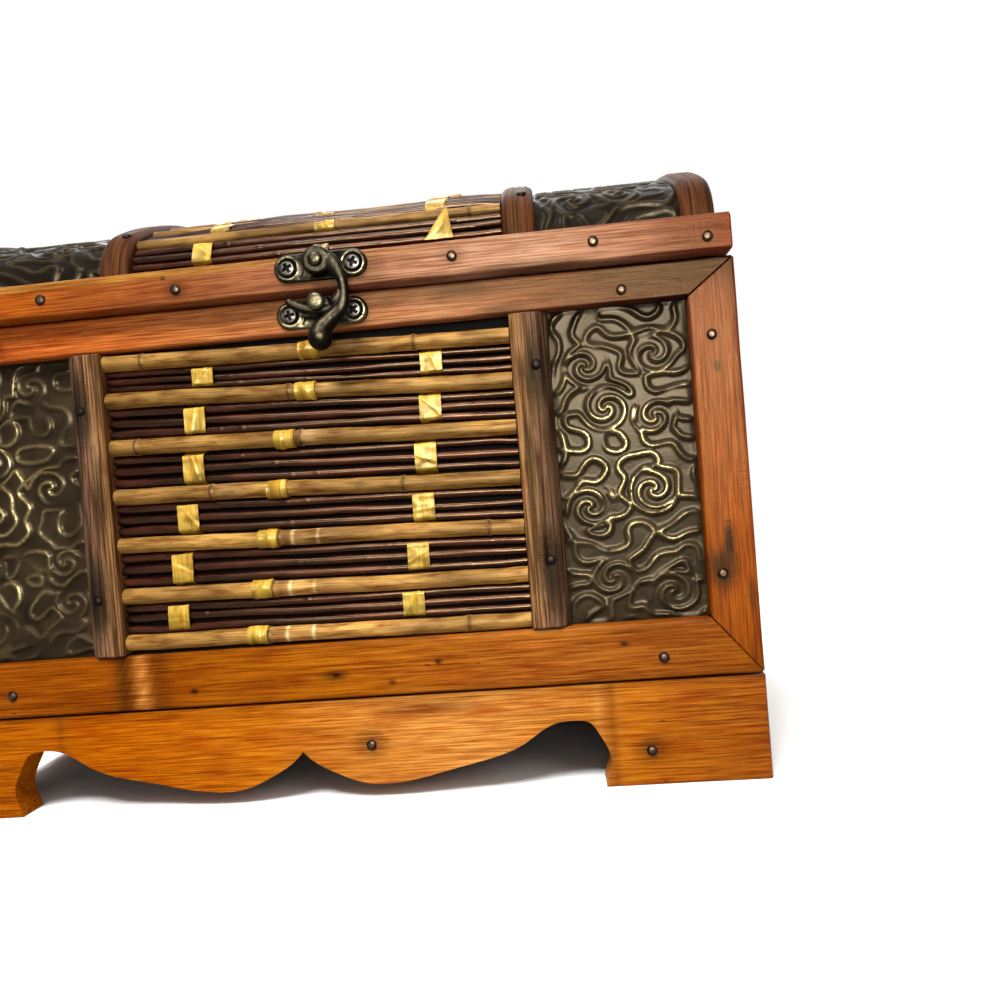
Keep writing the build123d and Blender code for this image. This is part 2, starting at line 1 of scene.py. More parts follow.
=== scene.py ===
import math
import bpy
import bmesh
import numpy as np
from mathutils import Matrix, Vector


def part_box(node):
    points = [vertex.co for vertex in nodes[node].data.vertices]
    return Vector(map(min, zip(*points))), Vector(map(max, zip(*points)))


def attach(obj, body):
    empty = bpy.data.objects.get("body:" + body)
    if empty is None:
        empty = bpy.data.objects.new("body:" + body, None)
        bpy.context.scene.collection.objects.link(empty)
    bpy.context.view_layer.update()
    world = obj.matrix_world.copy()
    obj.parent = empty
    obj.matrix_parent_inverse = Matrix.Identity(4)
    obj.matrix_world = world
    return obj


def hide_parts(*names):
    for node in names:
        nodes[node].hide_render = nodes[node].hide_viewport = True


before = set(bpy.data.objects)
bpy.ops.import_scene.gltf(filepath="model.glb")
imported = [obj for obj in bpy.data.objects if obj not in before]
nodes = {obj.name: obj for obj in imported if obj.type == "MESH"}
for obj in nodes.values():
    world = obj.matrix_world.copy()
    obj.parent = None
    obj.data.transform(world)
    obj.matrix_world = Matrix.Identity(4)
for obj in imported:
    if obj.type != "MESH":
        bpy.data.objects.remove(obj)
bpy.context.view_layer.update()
mm = 0.001
print("stage: packed box loaded")


# small tools: colours and noise

def linearColour(hexCode):
    # sRGB hex to the linear values that Blender wants
    srgb = [int(hexCode[i:i + 2], 16) / 255 for i in (1, 3, 5)]
    return [c / 12.92 if c <= 0.04045 else ((c + 0.055) / 1.055) ** 2.4 for c in srgb] + [1.0]


def tinted(colour, share, hexCode):
    # rows of colour, each moved by its share towards one colour
    share = np.asarray(share)[..., None]
    return colour * (1 - share) + share * np.array(linearColour(hexCode)[:3])


def stainAlong(u, stops, bands=()):
    # colour along a stick from (place, hex) stops, then soft bands of (place, width, hex, strength)
    places = [place for place, _ in stops]
    rgb = np.array([linearColour(code)[:3] for _, code in stops])
    colour = np.stack([np.interp(u, places, rgb[:, channel]) for channel in range(3)], -1)
    for place, width, code, strength in bands:
        colour = tinted(colour, strength * bell(u - place, width), code)
    return colour


def stainSpots(colour, u, v, spots):
    # knots, pin holes and scorched spots: (u, v, half length, half width, hex, strength)
    for atU, atV, long, wide, code, strength in spots:
        ragged = 1 + 0.3 * gradientNoise(u / 1.7, v / 1.1, 91)
        away = (((u - atU) / long) ** 2 + ((v - atV) / wide) ** 2) * ragged
        colour = tinted(colour, strength * bell(away, 1.0), code)
    return colour


def bell(x, width):
    return np.exp(-(x / width) ** 2)


def smoothStep(low, high, x):
    t = np.clip((x - low) / (high - low), 0, 1)
    return t * t * (3 - 2 * t)


def gradientNoise(x, y, seed):
    # smooth noise from about -1 to 1 with one swell per unit, the same every time for one seed
    cells = 128
    angles = np.random.RandomState(seed).rand(cells, cells) * 2 * math.pi
    x, y = np.broadcast_arrays(np.asarray(x, float), np.asarray(y, float))
    column, row = np.floor(x).astype(int), np.floor(y).astype(int)
    stepX, stepY = x - column, y - row
    fadeX = stepX ** 3 * (stepX * (stepX * 6 - 15) + 10)
    fadeY = stepY ** 3 * (stepY * (stepY * 6 - 15) + 10)

    def corner(dx, dy):
        angle = angles[(column + dx) % cells, (row + dy) % cells]
        return np.cos(angle) * (stepX - dx) + np.sin(angle) * (stepY - dy)

    low = corner(0, 0) + fadeX * (corner(1, 0) - corner(0, 0))
    high = corner(0, 1) + fadeX * (corner(1, 1) - corner(0, 1))
    return 1.5 * (low + fadeY * (high - low))


# small tools: meshes, built from closed shells in mm

def shellPart(points, faces, **marks):
    # faces are lists or arrays of corner numbers, marks have one row per point and feed the materials
    return {"points": np.asarray(points, float).reshape(-1, 3), "faces": faces, "marks": marks}


def gridFaces(rows, columns):
    # quads over an open grid of points
    row, column = np.meshgrid(np.arange(rows - 1), np.arange(columns - 1), indexing="ij")
    a = row * columns + column
    return np.stack([a, a + 1, a + columns + 1, a + columns], -1).reshape(-1, 4)


def ringFaces(rings, sides):
    # quads between closed rings of equal size
    ring, side = np.meshgrid(np.arange(rings - 1), np.arange(sides), indexing="ij")
    after = (side + 1) % sides
    return np.stack([ring * sides + side, ring * sides + after,
                     (ring + 1) * sides + after, (ring + 1) * sides + side], -1).reshape(-1, 4)


def capped(rings, sides):
    # faces of a closed tube whose two ends are flat
    last = (rings - 1) * sides
    return [ringFaces(rings, sides), list(range(sides))[::-1], list(range(last, last + sides))]


def addMarks(mesh, parts):
    for mark in parts[0]["marks"]:
        values = np.concatenate([np.asarray(part["marks"][mark], float) for part in parts])
        if values.ndim == 1:
            mesh.attributes.new(mark, "FLOAT", "POINT").data.foreach_set("value", values)
        elif mark == "stain":
            rgba = np.concatenate([values[:, :3], np.ones((len(values), 1))], 1)
            mesh.attributes.new(mark, "FLOAT_COLOR", "POINT").data.foreach_set("color", rgba.ravel())
        else:
            mesh.attributes.new(mark, "FLOAT_VECTOR", "POINT").data.foreach_set("vector", values.ravel())


def joinShells(name, parts):
    # one mesh in metres from several shells, with outward faces
    points = np.concatenate([part["points"] for part in parts])
    corners, sizes, offset = [], [], 0
    for part in parts:
        for block in part["faces"]:
            block = np.atleast_2d(np.asarray(block, int))
            corners.append((block + offset).ravel())
            sizes.append(np.full(len(block), block.shape[1]))
        offset += len(part["points"])
    corners, sizes = np.concatenate(corners), np.concatenate(sizes)
    mesh = bpy.data.meshes.new(name)
    mesh.vertices.add(len(points))
    mesh.vertices.foreach_set("co", (points * mm).ravel())
    mesh.loops.add(len(corners))
    mesh.loops.foreach_set("vertex_index", corners)
    mesh.polygons.add(len(sizes))
    mesh.polygons.foreach_set("loop_start", np.concatenate([[0], np.cumsum(sizes)[:-1]]))
    mesh.update(calc_edges=True)
    addMarks(mesh, parts)
    bm = bmesh.new()
    bm.from_mesh(mesh)
    bmesh.ops.remove_doubles(bm, verts=bm.verts, dist=2e-6)
    bmesh.ops.recalc_face_normals(bm, faces=bm.faces)
    bmesh.ops.triangulate(bm, faces=[face for face in bm.faces if len(face.verts) > 4])
    bm.to_mesh(mesh)
    bm.free()
    return mesh


def addPiece(name, mesh, body, slotName, node):
    # hands one mesh object to the frame: the body it rides on, its slot and the node it stands for
    mesh.shade_smooth()
    mesh.materials.append(finishes[slotName])
    piece = bpy.data.objects.new(name, mesh)
    bpy.context.scene.collection.objects.link(piece)
    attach(piece, body)
    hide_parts(node)


def buildPiece(name, parts, body, slotName, node, sharp=40):
    mesh = joinShells(name, parts)
    addPiece(name, mesh, body, slotName, node)
    mesh.set_sharp_from_angle(angle=math.radians(sharp))


# where things are, in mm: the four walls and the dome of the lid

wall = {"frontBoard": -66.9, "backBoard": 75.1, "endBoard": 121.0, "middleY": 4.1,
        "frameThick": 5.0, "stileWidth": 13.7, "railLow": 137.9, "rim": 148.5,
        "baseLow": 30.1, "baseTop": 46.7, "longHalf": 126.0, "shortHalf": 71.0}
# a piece placed on a side has u along the wall, v up and w out from the board
onSide = {
    "front": lambda u, v, w: np.stack([u, wall["frontBoard"] - w, v], -1),
    "back": lambda u, v, w: np.stack([-u, wall["backBoard"] + w, v], -1),
    "right": lambda u, v, w: np.stack([wall["endBoard"] + w, wall["middleY"] + u, v], -1),
    "left": lambda u, v, w: np.stack([-wall["endBoard"] - w, wall["middleY"] - u, v], -1),
}

dome = {"topRadius": 135.0, "sideRadius": 18.4, "turn": math.radians(30.1), "apex": 193.0, "middleY": 2.7,
        "railTop": 159.2, "stickDepth": 3.15, "matDepth": 5.0}
dome["centreZ"] = dome["apex"] - dome["topRadius"]
dome["sideY"] = (dome["topRadius"] - dome["sideRadius"]) * math.sin(dome["turn"])
dome["sideZ"] = dome["centreZ"] + (dome["topRadius"] - dome["sideRadius"]) * math.cos(dome["turn"])
stickSide, stickTop = (dome[name] - dome["stickDepth"] for name in ("sideRadius", "topRadius"))
dome["foot"] = math.acos((dome["railTop"] - dome["sideZ"]) / stickSide)
dome["sideWay"] = (dome["foot"] - dome["turn"]) * stickSide
dome["topWay"] = 2 * dome["turn"] * stickTop
dome["wholeWay"] = 2 * dome["sideWay"] + dome["topWay"]


def domeAngle(way):
    # angle from upright after going this far round from the front rail
    way = np.asarray(way, float)
    beyond = way - dome["sideWay"]
    behind = dome["turn"] + (beyond - dome["topWay"]) / stickSide
    return np.where(beyond < 0, -dome["foot"] + way / stickSide,
                    np.where(beyond < dome["topWay"], -dome["turn"] + beyond / stickTop, behind))


def domePoint(x, angle, depth):
    # depth is measured inwards from the strap tops
    onTop = np.abs(angle) <= dome["turn"]
    radius = np.where(onTop, dome["topRadius"], dome["sideRadius"]) - depth
    baseY = dome["middleY"] + np.where(onTop, 0.0, np.sign(angle) * dome["sideY"])
    baseZ = np.where(onTop, dome["centreZ"], dome["sideZ"])
    x, angle, radius, baseY, baseZ = np.broadcast_arrays(x, angle, radius, baseY, baseZ)
    return np.stack([x, baseY + radius * np.sin(angle), baseZ + radius * np.cos(angle)], -1)


def onDome(x, way, up):
    # up is the height above the boards under the mat
    return domePoint(x, domeAngle(way), dome["matDepth"] - np.asarray(up, float))


# shader nodes

def addNode(tree, kind, links=None, stops=None, **settings):
    # one shader node: settings are its properties, links are values or sockets for its inputs
    node = tree.nodes.new("ShaderNode" + kind)
    for name, value in settings.items():
        setattr(node, name, value)
    for socket, source in (links or {}).items():
        if isinstance(source, bpy.types.NodeSocket):
            tree.links.new(source, node.inputs[socket])
        else:
            node.inputs[socket].default_value = source
    for index, (place, colour) in enumerate(stops or []):
        if index > 1:
            node.color_ramp.elements.new(place)
        element = node.color_ramp.elements[index]
        element.position = place
        element.color = linearColour(colour)
    return node


def mark(tree, name, output="Fac"):
    return addNode(tree, "Attribute", attribute_name=name).outputs[output]


def maths(tree, operation, first, second, clamp=False):
    return addNode(tree, "Math", {0: first, 1: second}, operation=operation, use_clamp=clamp).outputs[0]


def mixed(tree, share, first, second, blend="MIX"):
    node = addNode(tree, "Mix", {0: share, 6: first, 7: second}, data_type="RGBA", blend_type=blend)
    return node.outputs[2]


def ramp(tree, value, stops):
    return addNode(tree, "ValToRGB", {"Fac": value}, stops=stops).outputs["Color"]


def remap(tree, value, low, high, fromLow=0.0, fromHigh=1.0):
    return addNode(tree, "MapRange", {"Value": value, "From Min": fromLow, "From Max": fromHigh,
                                      "To Min": low, "To Max": high}).outputs[0]


def stretched(tree, place, sizes):
    # a place counted in cells of the given length, width and depth in mm
    cells = [1 / (size * mm) for size in sizes]
    return addNode(tree, "VectorMath", {0: place, 1: cells}, operation="MULTIPLY").outputs[0]


def patches(tree, place, sizes, detail, **more):
    links = {"Vector": stretched(tree, place, sizes), "Scale": 1.0, "Detail": detail, **more}
    return addNode(tree, "TexNoise", links).outputs["Fac"]


def newMaterial(name):
    material = bpy.data.materials.new(name)
    material.use_nodes = True
    tree = material.node_tree
    return material, tree, tree.nodes["Principled BSDF"]


def dress(tree, shader, colour, rough, height, strength, depth, **values):
    # links the shader's main inputs; depth of the relief is in mm, values are fixed for the whole material
    bump = addNode(tree, "Bump", {"Height": height, "Strength": strength, "Distance": depth * mm})
    for socket, source in (("Base Color", colour), ("Roughness", rough), ("Normal", bump.outputs[0])):
        tree.links.new(source, shader.inputs[socket])
    for socket, value in values.items():
        shader.inputs[socket].default_value = value


# materials

def makeStainedWood(name, look):
    # Thin-sawn fir, stained and torched, then given one coat of satin varnish.
    # The eye sees long fine streaks, thin dark latewood lines and darker, browner arrises.
    material, tree, shader = newMaterial(name)
    grain, stain, edge = mark(tree, "grain", "Vector"), mark(tree, "stain", "Color"), mark(tree, "edge")
    # fibres, a little coarser than real ones so that they show, latewood lines and patches of soaked-in stain
    fibre = patches(tree, grain, (16, 0.5, 0.5), 5.0, Roughness=0.6)
    growth = patches(tree, grain, (110, 2.2, 2.2), 2.0, Distortion=0.3)
    soak = patches(tree, grain, (20, 5, 5), 4.0, Roughness=0.55)
    lines = ramp(tree, growth, [(0.46, "#ffffff"), (0.495, look["lineTint"]), (0.51, look["lineTint"]),
                                (0.55, "#ffffff")])
    streak = ramp(tree, fibre, [(0.34, look["streakDark"]), (0.5, "#e0d6cc"), (0.62, "#ffffff")])
    patch = ramp(tree, soak, [(0.3, look["patchDark"]), (0.52, "#ffffff"), (0.75, look["patchLight"])])
    # dark specks of torched pith and pin holes, about 1 mm, far apart
    speck = addNode(tree, "TexVoronoi", {"Vector": stretched(tree, grain, (7.5, 3.2, 3.2)), "Scale": 1.0})
    chosen = addNode(tree, "SeparateXYZ", {"Vector": speck.outputs["Color"]}).outputs[0]
    near = remap(tree, speck.outputs["Distance"], 0.75, 0.0, 0.06, 0.17)
    spot = maths(tree, "MULTIPLY", maths(tree, "LESS_THAN", chosen, look["specks"]), near)
    colour = mixed(tree, 1.0, stain, streak, "MULTIPLY")
    colour = mixed(tree, look["lines"], colour, lines, "MULTIPLY")
    colour = mixed(tree, 0.85, colour, patch, "MULTIPLY")
    scorch = maths(tree, "MULTIPLY", maths(tree, "MULTIPLY", edge, soak), look["scorch"], clamp=True)
    colour = mixed(tree, maths(tree, "MAXIMUM", scorch, spot), colour, linearColour(look["edgeTint"]))
    rough = remap(tree, fibre, look["rough"] + 0.12, look["rough"] - 0.08)
    # fine saw marks across the grain, left in patches
    saw = patches(tree, grain, (0.5, 12, 12), 1.0)
    saw = maths(tree, "MULTIPLY", saw, remap(tree, soak, 0.0, 1.0, 0.5, 0.62))
    height = maths(tree, "ADD", fibre, maths(tree, "MULTIPLY", growth, 0.6))
    dress(tree, shader, colour, rough, maths(tree, "ADD", height, saw), look["relief"], 0.25,
          **{"IOR": 1.5, "Specular IOR Level": look["sheen"], "Specular Tint": linearColour(look["varnish"])})
    return material


# the varnish has yellowed
firLook = {"lines": 0.4, "specks": 0.03, "rough": 0.36, "sheen": 0.05, "varnish": "#ffc88c"}
amberFir = makeStainedWood("amber stained fir, varnished", {
    **firLook, "streakDark": "#b08458", "lineTint": "#9a6a3c", "patchDark": "#dcb68c",
    "patchLight": "#fff0d0", "edgeTint": "#3a1a08", "scorch": 0.75, "specks": 0.035, "relief": 0.3,
    "sheen": 0.035})
redFir = makeStainedWood("red-brown stained fir, varnished", {
    **firLook, "streakDark": "#a87e6c", "lineTint": "#8e5a44", "patchDark": "#d0ac98",
    "patchLight": "#fff0e0", "edgeTint": "#2c130a", "scorch": 0.8, "relief": 0.32})
torchedFir = makeStainedWood("torched fir, wire brushed", {
    **firLook, "streakDark": "#7c6450", "lineTint": "#4a3424", "patchDark": "#846c58",
    "patchLight": "#fff2e2", "edgeTint": "#160d08", "scorch": 0.9, "relief": 0.8, "lines": 0.8, "rough": 0.5})


def makeLeather():
    # Split leather pressed between rollers, dyed near black, then rubbed with brass powder on the high lines.
    # The eye sees a fine pebble and a dull gold line on some ridges; the dark hollows beside the ridges and
    # the darker lid sheets are painted shade, and each sheet darkens along its edges.
    material, tree, shader = newMaterial("embossed leather, brass rubbed")
    grain, rub, hollow = mark(tree, "grain", "Vector"), mark(tree, "rub"), mark(tree, "hollow")
    pebble = addNode(tree, "TexVoronoi", {"Vector": stretched(tree, grain, (0.5,) * 3), "Scale": 1.0,
                                          "Randomness": 1.0}).outputs["Distance"]
    mottle = patches(tree, grain, (9,) * 3, 4.0, Roughness=0.6)
    speck = patches(tree, grain, (1.1,) * 3, 2.0)
    dye = ramp(tree, mottle, [(0.3, "#1f1810"), (0.52, "#30261a"), (0.75, "#433625")])
    # painted shade: the dye goes to near black in the hollows and over the lid sheets, and also along the
    # edges
    deep = mixed(tree, hollow, dye, linearColour("#130e09"))
    brass = maths(tree, "MULTIPLY", rub, remap(tree, speck, 0.4, 1.0, 0.32, 0.6), clamp=True)
    tree.links.new(maths(tree, "MULTIPLY", brass, 0.5), shader.inputs["Metallic"])
    dress(tree, shader, mixed(tree, brass, deep, linearColour("#6e6240")), remap(tree, mottle, 0.24, 0.36),
          pebble, 0.2, 0.08,
          **{"IOR": 1.48, "Specular IOR Level": 0.034, "Specular Tint": linearColour("#ffe6bc")})
    return material


embossedLeather = makeLeather()


def makeStick(name, look):
    # Split-free natural stems, only lacquered: the stain mark carries nodes and pale joints,
    # and the eye sees fine streaks along the stem over it.
    material, tree, shader = newMaterial(name)
    grain, stain = mark(tree, "grain", "Vector"), mark(tree, "stain", "Color")
    fibre = patches(tree, grain, (14, 0.35, 0.35), 4.0, Roughness=0.6)
    blotch = patches(tree, grain, (9, 2.2, 2.2), 3.0)
    streak = ramp(tree, fibre, [(0.28, look["streakDark"]), (0.5, "#e6e0da"), (0.72, "#ffffff")])
    patch = ramp(tree, blotch, [(0.32, look["blotchDark"]), (0.55, "#ffffff"), (0.8, "#ffffff")])
    colour = mixed(tree, 0.85, mixed(tree, 1.0, stain, streak, "MULTIPLY"), patch, "MULTIPLY")
    rough = remap(tree, blotch, look["rough"] - 0.06, look["rough"] + 0.1)
    dress(tree, shader, colour, rough, fibre, 0.35, 0.15,
          **{"IOR": 1.5, "Specular IOR Level": look["sheen"], "Specular Tint": linearColour(look["lacquer"])})
    return material


driedCane = makeStick("dried river cane, lacquered", {
    "streakDark": "#7e6238", "blotchDark": "#9a7644", "rough": 0.34, "sheen": 0.06, "lacquer": "#ffdca8"})
willowTwig = makeStick("willow twig with its bark, lacquered", {
    "streakDark": "#8a7068", "blotchDark": "#8c7870", "rough": 0.17, "sheen": 0.17, "lacquer": "#ffca98"})
goldStraw = makeStick("flat rye straw, gold dyed", {
    "streakDark": "#c8a86c", "blotchDark": "#d2b070", "rough": 0.28, "sheen": 0.2, "lacquer": "#ffe6a4"})


def makeMetal(name, dark, middle, bright, roughDark, roughBright, bare=0.0):
    # Cast or stamped brass, chemically darkened, and polished again only where hands and cloth reach.
    # The eye sees dark brown-green hollows and warm bright rims. Bare is the polish of a piece with no wear.
    material, tree, shader = newMaterial(name)
    place = addNode(tree, "TexCoord").outputs["Object"]
    cloud = patches(tree, place, (1.6,) * 3, 4.0, Roughness=0.6)
    pits = patches(tree, place, (0.25,) * 3, 2.0)
    tarnish = maths(tree, "ADD", remap(tree, cloud, bare - 0.2, bare + 0.2, 0.3, 0.7),
                    remap(tree, pits, -0.14, 0.14, 0.35, 0.65))
    # the polish comes from a mark that is wear, and on the hook also painted highlight
    polish = maths(tree, "ADD", mark(tree, "wear"), tarnish, clamp=True)
    dress(tree, shader, ramp(tree, polish, [(0.0, dark), (0.45, middle), (1.0, bright)]),
          remap(tree, polish, roughDark, roughBright), pits, 0.25, 0.06, Metallic=1.0)
    return material


antiqueBrass = makeMetal("antiqued cast brass", "#070604", "#16130d", "#4a4330", 0.42, 0.28)
nailBronze = makeMetal("bronzed steel nail heads", "#070504", "#18110c", "#3c2e24", 0.5, 0.36)
hingeBrass = makeMetal("stamped brass plated hinge", "#241a0c", "#4e3a1a", "#7c6436", 0.45, 0.28, bare=0.5)
screwSteel = makeMetal("blackened steel screw", "#040303", "#1c1917", "#46413c", 0.5, 0.36)


def makePlywood():
    # Rotary-cut poplar plywood, bare inside the box. Outside, where the mats lie on it, it is near-black
    # brown: painted shade for the shadow between the canes.
    # The eye sees pale wood with a wide soft figure inside, and near black between the canes.
    material, tree, shader = newMaterial("poplar plywood, shade painted outside")
    coordinates = addNode(tree, "TexCoord")
    place, normal = coordinates.outputs["Object"], coordinates.outputs["Normal"]
    figure = patches(tree, place, (40, 40, 5), 4.0, Distortion=0.6)
    fibre = patches(tree, place, (16, 16, 0.6), 3.0)
    half = maths(tree, "MULTIPLY", maths(tree, "ADD", figure, fibre), 0.5)
    bare = ramp(tree, half, [(0.36, "#7d5a38"), (0.5, "#a37d51"), (0.64, "#bd9a6b")])
    # painted shade: the near-black brown of the outside faces
    shadePaint = ramp(tree, half, [(0.4, "#080403"), (0.62, "#120906")])
    # a face that looks away from a point under the lid is on the outside
    fromCore = addNode(tree, "VectorMath", {0: place, 1: (0.0, 0.004, 0.16)}, operation="SUBTRACT").outputs[0]
    facing = addNode(tree, "VectorMath", {0: fromCore, 1: normal}, operation="DOT_PRODUCT").outputs["Value"]
    colour = mixed(tree, maths(tree, "GREATER_THAN", facing, 0.0), bare, shadePaint)
    dress(tree, shader, colour, remap(tree, fibre, 0.58, 0.78), fibre, 0.3, 0.2,
          **{"IOR": 1.48, "Specular IOR Level": 0.01})
    return material


plywood = makePlywood()
# the slot of the record that each of them finishes
finishes = {"stained_wood": redFir, "amber_wood": amberFir, "scorched_wood": torchedFir, "cane": driedCane,
            "embossed_leather": embossedLeather, "twig": willowTwig, "straw": goldStraw,
            "antique_brass": antiqueBrass, "bronze_nails": nailBronze, "screw_steel": screwSteel}
print("stage: materials mixed")


# straight wood: frames, lid rails, straps and battens

def roundedSection(corners, radius, step=1.0):
    # closed outline of a stick's end, its corners rounded and its sides divided
    corners = np.array(corners, float)
    outline = []
    for index, corner in enumerate(corners):
        nextCorner = corners[(index + 1) % len(corners)]
        before, after = corners[index - 1] - corner, nextCorner - corner
        beyond = corners[(index + 2) % len(corners)] - nextCorner
        lengthBefore, lengthAfter = np.linalg.norm(before), np.linalg.norm(after)
        first = corner + before / lengthBefore * min(radius, lengthBefore / 3, lengthAfter / 3)
        last = corner + after / lengthAfter * min(radius, lengthBefore / 3, lengthAfter / 3)
        stop = nextCorner - after / lengthAfter * min(radius, lengthAfter / 3, np.linalg.norm(beyond) / 3)
        for t in (0.0, 0.33, 0.67, 1.0):
            outline.append((1 - t) ** 2 * first + 2 * t * (1 - t) * corner + t * t * last)
        count = max(1, int(round(np.linalg.norm(stop - last) / step)))
        outline += [last + (stop - last) * k / count for k in range(1, count)]
    return np.array(outline)


def barSection(low, high, thick, radius, step=1.0):
    return roundedSection([(low, 0), (high, 0), (high, thick), (low, thick)], radius, step)


def always(value):
    return lambda x: np.full_like(x, value)


bar = {
    "ease": 0.45, "bareWood": "#b98a3e",
    # how long the swells of its face and of its edges are, and their shares of the wobble
    "faceSwell": 26, "faceSwellAcross": 7, "faceShare": 0.7, "edgeSwell": 19, "edgeShare": 0.6,
    # how far the darker arris reaches in from an edge, and how dark the sawn ends are
    "arris": 1.1, "arrisDark": 0.8, "endDark": 0.6,
}


def makeBar(section, startAt, endAt, place, stops, seed, wobble, bands=(), spots=(), step=2.5, groove=None,
            worn=None, stopsAcross=False):
    # a stick along u with its section in v and w, ends cut at startAt(v) and endAt(v) so that mitres meet;
    # groove(u, v) is the depth of worn lines, worn(u, v) the share of bare, sanded colour
    v, w = section[:, 0], section[:, 1]
    lowV, highV, lowW, highW = v.min(), v.max(), w.min(), w.max()
    middleV, middleW = (lowV + highV) / 2, (lowW + highW) / 2
    begin, ease = float(startAt(middleV)), bar["ease"]
    length = abs(float(endAt(middleV)) - begin)
    # rings all along, closer together at each spot, with a small ease at both ends
    inner = [np.linspace(ease, length - ease, max(4, int(length / step)))]
    inner += [abs(spot[0] - begin) + np.linspace(-2, 2, 9) * spot[2] for spot in spots]
    inner = np.unique(np.concatenate(inner))
    inner = inner[(inner >= ease) & (inner <= length - ease)]
    ways = np.concatenate([[0.0], inner / length, [1.0]])
    offset = np.random.RandomState(seed).rand(3) * 40
    rings, grain, stain, edge = [], [], [], []
    for index, way in enumerate(ways):
        shrink = ease if index in (0, len(ways) - 1) else 0.0
        ringV = middleV + (v - middleV) * (1 - 2 * shrink / (highV - lowV))
        ringW = middleW + (w - middleW) * (1 - 2 * shrink / (highW - lowW))
        u = startAt(ringV) + way * (endAt(ringV) - startAt(ringV))
        # face and edges wander a little
        out, side = smoothStep(lowW, highW, ringW), (ringV - middleV) / ((highV - lowV) / 2)
        swell = gradientNoise(u / bar["faceSwell"] + offset[0], ringV / bar["faceSwellAcross"], seed + 1)
        ringW = ringW - out * wobble * (1 + swell) * bar["faceShare"]
        swell = gradientNoise(u / bar["edgeSwell"] + offset[1], side, seed + 2)
        ringV = ringV - side * wobble * (1 + swell) * bar["edgeShare"]
        if groove is not None:
            ringW = ringW - out * groove(u, ringV)
        colour = stainAlong(ringV if stopsAcross else u, stops, bands)
        if worn is not None:
            colour = tinted(colour, worn(u, ringV), bar["bareWood"])
        nearEdge = np.maximum(np.minimum(ringV - lowV, highV - ringV), 0)
        rings.append(place(u, ringV, ringW))
        grain.append(np.stack([u, ringV, ringW], -1) + offset * 20)
        stain.append(stainSpots(colour, u, ringV, spots))
        edge.append(np.exp(-nearEdge / bar["arris"]) * bar["arrisDark"] + bar["endDark"] * (shrink > 0))
    return shellPart(np.concatenate(rings), capped(len(ways), len(v)), grain=np.concatenate(grain) * mm,
                     stain=np.concatenate(stain), edge=np.concatenate(edge))


frames = {
    "cornerRound": 0.75, "wobble": 0.14,
    # along each stick of a wall, from its left end or its foot: (place, hex)
    "front": {
        # the paler, greyer stops from -31 to 42 are partly the stain and partly painted highlight
        "top_rail": [(-126, "#ca6325"), (-60, "#d27530"), (-31, "#c97e42"), (42, "#be855f"), (75, "#955438"),
                     (92, "#45160c"), (108, "#230705"), (126, "#2a0906")],
        "bottom_rail": [(-126, "#985109"), (-60, "#985204"), (0, "#ac640a"), (60, "#b26a1f"),
                        (126, "#8b4a06")],
        "left_stile": [(30, "#934a06"), (75, "#9e4f15"), (148, "#7c3d29")],
        "right_stile": [(30, "#924b03"), (62, "#a95404"), (95, "#974d17"), (148, "#793e2e")],
        # a scraped bright patch between dark edges: (place, width, hex, strength)
        "bands": {"bottom_rail": [(-62.5, 3.0, "#3a2008", 0.8), (-51.5, 3.6, "#4e2a0a", 0.55),
                                  (-56.9, 1.7, "#e2a050", 0.75)]},
        # pin holes, torched shadows, a knot and haloes of the nails, as stainSpots wants them
        "spots": {
            "bottom_rail": [(-41, 35, 1.3, 0.8, "#1c0c06", 0.95), (2, 37, 4.2, 1.4, "#4a2408", 0.8),
                            (2.4, 37.1, 1.3, 0.8, "#140804", 0.95), (33, 39.2, 1.2, 0.8, "#1c0c06", 0.95),
                            (87, 40.8, 1.3, 0.8, "#1c0c06", 0.95), (19, 34, 1.2, 0.7, "#3a1c08", 0.85)],
            "top_rail": [(80, 140.6, 14, 3.2, "#1a0f0b", 0.55), (100, 144.5, 15, 3.2, "#1a0f0b", 0.65),
                         (48, 146.2, 9, 1.7, "#2c1810", 0.6), (60, 139.4, 8, 1.7, "#20120c", 0.7),
                         (-94, 141.5, 3.6, 2.8, "#3a2016", 0.6)],
            "right_stile": [(68, 118.7, 6.0, 1.5, "#180a05", 0.9), (68, 118.7, 3.6, 1.0, "#080301", 1.0),
                            (117.5, 119, 1.8, 1.0, "#120806", 1.0), (60.4, 116.3, 6.4, 4.2, "#261b11", 0.92),
                            (52, 124, 6, 1.4, "#2a1408", 0.6)],
            "left_stile": [(61.8, -117, 5.2, 3.8, "#261b11", 0.8), (96, -121, 1.4, 0.8, "#120806", 0.9)],
        },
    },
    "other": {
        "top_rail": [(-126, "#8d491e"), (0, "#914e1e"), (126, "#7e401a")],
        "bottom_rail": [(-126, "#9c570f"), (0, "#a55e0d"), (126, "#945211")],
        "left_stile": [(30, "#a26212"), (90, "#985420"), (148, "#924e24")],
        "right_stile": [(30, "#9f5e14"), (90, "#94501e"), (148, "#8d4b23")],
        "bands": {}, "spots": {},
    },
}


